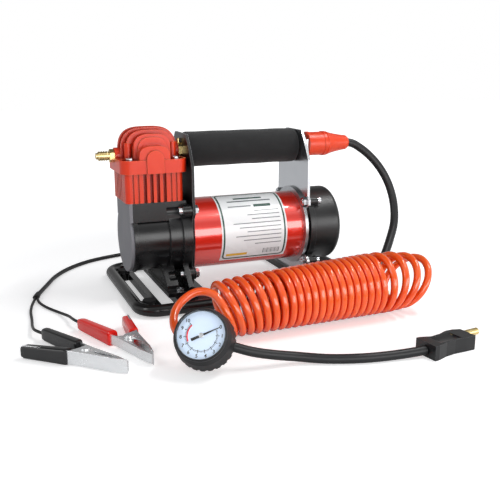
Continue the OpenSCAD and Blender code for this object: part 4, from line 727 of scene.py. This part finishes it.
def ring_of(count):
    """Ring, from the outermost, of each turn in a coil whose layers run in and out by turns."""
    place = count % rings
    return np.where(count // rings % 2 == 0, place, rings - 1 - place)


ring = ring_of(whole) * (1 - shift) + ring_of(following) * shift
layer = whole // rings * (1 - shift) + following // rings * shift
wound_r = coil_r - ring * layer_up
wound = np.stack([coil_x + wound_r * np.cos(2 * np.pi * turn),
                  coil_y + wound_r * np.sin(2 * np.pi * turn), coil_z + layer * layer_up], 1)
cable_route = np.vstack([into_coil, wound, out_of_coil]) / 1000
cable = cord_curve("power_cable_pvc", cable_route, cable_d / 1000, cable_vinyl, "cable_vinyl",
                   "power_cable", "cable_coil")

# The ties: two nylon straps pulled tight round the coil's section, smooth, with a paler highlight
# painted on their corners. A strap is an oblong carried round the section, which is a rectangle
# rounded by cable_d / 2. Its turns start off nought, so that none falls where a sine or a cosine
# changes its sign.
strap = surface("tie_nylon_black", ("#141415", "#1c1c1e"), (0.3, 0.4), 6, 0.8, 0.01,
                painted_edge=(0.2, "#505256", 0.4))
strap_w, strap_t, strap_gap = 4, 0.8, 0.05
side_r, side_z = (rings - 1) / 2 * layer_up, (layers - 1) / 2 * layer_up
middle_r, middle_z = coil_r - side_r, coil_z + side_z
off_nought = 0.01
turn = np.linspace(0, 2 * np.pi, 48, endpoint=False)[:, None] + off_nought
across, up = np.array([(-strap_w, 0), (strap_w, 0), (strap_w, strap_t * 2),
                       (-strap_w, strap_t * 2)]).T / 2
stretch = cable_d / 2 + strap_gap + up
from_axis = middle_r + np.sign(np.cos(turn)) * side_r + stretch * np.cos(turn)
above = middle_z + np.sign(np.sin(turn)) * side_z + stretch * np.sin(turn)
for number, at in enumerate(np.radians([160.0, 340.0])):
    loop = np.stack([coil_x + from_axis * np.cos(at) - across * np.sin(at),
                     coil_y + from_axis * np.sin(at) + across * np.cos(at), above], -1) / 1000
    skin(f"cable_tie_{number + 1}", loop, strap, "root", "cable_vinyl", looped=True)

# The shrunk sleeve: polyolefin, matt from the heat, in a flattened oval round the cable's end and
# the two wires. Its half width grows from the cable to the wires. Both its ends are drawn in, by
# shares of the width and of the thickness.
shrink = surface("split_sleeve_shrunk_black", ("#121213", "#1a1a1b"), (0.4, 0.5), 10, 0.8, 0.02,
                 Specular_IOR_Level=0.3)
(split_x, split_y, split_z), half_long, (way_x, way_y) = (-188, 22, 2.45), 8, (-0.28, -0.96)
half_w, half_w_more, half_t, w_drawn_in, t_drawn_in = 3.0, 0.5, 2.35, 0.35, 0.25
along = np.linspace(-1, 1, 21)[:, None]
turn = np.linspace(0, 2 * np.pi, 32, endpoint=False)
at_ends = np.abs(along) ** 8
wide = (half_w + half_w_more * along) * (1 - w_drawn_in * at_ends) * np.cos(turn)
tall = half_t * (1 - t_drawn_in * at_ends) * np.sin(turn)
split = np.stack([split_x + half_long * along * way_x - wide * way_y,
                  split_y + half_long * along * way_y + wide * way_x, split_z + tall], -1) / 1000
split_sleeve = skin("cable_split_sleeve", split, shrink, "root", "cable_vinyl")

# ---------------------------------------------------------------------------------------------
# The clamps: two folded steel levers each, riveted and sprung, lying on their sides. Vinyl
# sleeves are dipped on the handles, black on one clamp and red on the other.

# Blanked from strip and plated bright, with a pale, slightly milky shine, and a white highlight
# painted along its edges.
clamp_steel = surface("clamp_nickel_plated_steel", ("#e4e6e8", "#f8f9fa"), (0.16, 0.3), 8, 0.8,
                      0.01, painted_edge=(0.3, "#ffffff", 0.5), Metallic=0.8)
# Dipped vinyl, thick and soft: the black is satin, and the red is glossy with a wet look.
black_sleeve = surface("sleeve_vinyl_black", ("#121213", "#1c1c1e"), (0.26, 0.38), 12, 0.9, 0.02,
                       Specular_IOR_Level=0.6)
red_sleeve = surface("sleeve_vinyl_red", ("#f01c16", "#fb2c22"), (0.12, 0.2), 12, 0.9, 0.01,
                     Coat_Weight=0.3, Coat_Roughness=0.06)
dress(clamp_steel, "clamp_levers", "black_jaw", "red_jaw")

# In millimetres: how far a sleeve's dome stands past the tail and how long the dome and the lip
# are, its half thickness and half height over the dome, and how much they grow to the lip, which
# is a tenth slimmer at its end.
past_tail, dome_long, lip_long, lip_slimmer = 3.6, 5, 2, 0.1
sleeve_t, sleeve_t_more, sleeve_h, sleeve_h_more = 3.6, 0.8, 5.0, 1.4
# A lever runs from 5.5 mm beside the clamp's line at the pivot to 17.1 mm at the tail. The clamp
# lies on its side, with its line 6.5 mm over the floor.
lever_in, lever_out, lying_z = 8 - 2.5, 42 / 2 - 1.4 - 2.5, 6.5


def sleeve(name, pivot, azimuth, side, tail, inner, material, body, slot, replaced):
    """A dipped sleeve from the handle's tail to its inner end, in millimetres from the pivot. Its
    section is a rounded oblong, cos and sin each to the power 0.45, which swells towards the
    clamp and closes in a round dome over the tail: sqrt(1 - (1 - s)^2) for the share s of the
    dome, down to a fiftieth. Side is 1 for the lever on the left, -1 on the right."""
    share = np.sin(np.linspace(0, np.pi / 2, 28))[:, None]
    x = tail - past_tail + (inner - tail + past_tail) * share
    dome = np.clip((x - tail + past_tail) / dome_long, 0, 1)
    lip = 1 - lip_slimmer * np.clip((x - inner + lip_long) / lip_long, 0, 1) ** 2
    closing = (np.sqrt(1 - (1 - dome) ** 2) * 0.98 + 0.02) * lip
    lever = lever_in + (lever_out - lever_in) * x / tail
    turn = np.linspace(0, 2 * np.pi, 40, endpoint=False)
    circle = np.stack([np.cos(turn), np.sin(turn)])
    out, up = np.abs(circle) ** 0.45 * np.sign(circle)
    y = side * (lever + (sleeve_t + sleeve_t_more * share) * closing * out)
    z = lying_z + (sleeve_h + sleeve_h_more * share) * closing * up
    a = np.radians(azimuth)
    grid = np.stack([pivot[0] + x * np.cos(a) - y * np.sin(a),
                     pivot[1] + x * np.sin(a) + y * np.cos(a), z], -1)
    made = skin(name, grid / 1000, material, body, slot)
    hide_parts(replaced)
    return made


black_pivot, black_az, red_pivot, red_az = (-170.5, -154.7), -52.2, (-133.4, -140), -78.2
black_fixed = sleeve("black_lever_sleeve", black_pivot, black_az, 1, -60, -14, black_sleeve,
                     "root", "black_vinyl", "black_grip")
sleeve("black_jaw_sleeve", black_pivot, black_az, -1, -46, -9, black_sleeve,
       "black_clamp_jaw", "black_vinyl", "black_jaw_grip")
red_fixed = sleeve("red_lever_sleeve", red_pivot, red_az, -1, -60, -14, red_sleeve,
                   "root", "red_vinyl", "red_grip")
sleeve("red_jaw_sleeve", red_pivot, red_az, 1, -46, -9, red_sleeve,
       "red_clamp_jaw", "red_vinyl", "red_jaw_grip")

black_route = metres((-188, 22, 2.4), (-194, 2, 1.8), (-198, -20, 1.8), (-199.5, -46, 1.8),
                     (-201, -70, 3.6), (-200, -85, 6), (-195.3, -95.4, 6.5))
red_route = metres((-188, 22, 2.4), (-188.5, 4, 1.8), (-184, -14, 1.8), (-175, -34, 2),
                   (-168.5, -56, 4.4), (-166.3, -72, 6.1), (-162.5, -82.7, 6.5))
for name, route, pieces in (("black_clamp_wire", black_route,
                             [black_fixed, "black_jaw", "clamp_levers"]),
                            ("red_clamp_wire", red_route, [red_fixed, "red_jaw"])):
    wire = cord_curve(name, route, 0.0026, cable_vinyl, "cable_vinyl", "clamp_wires")
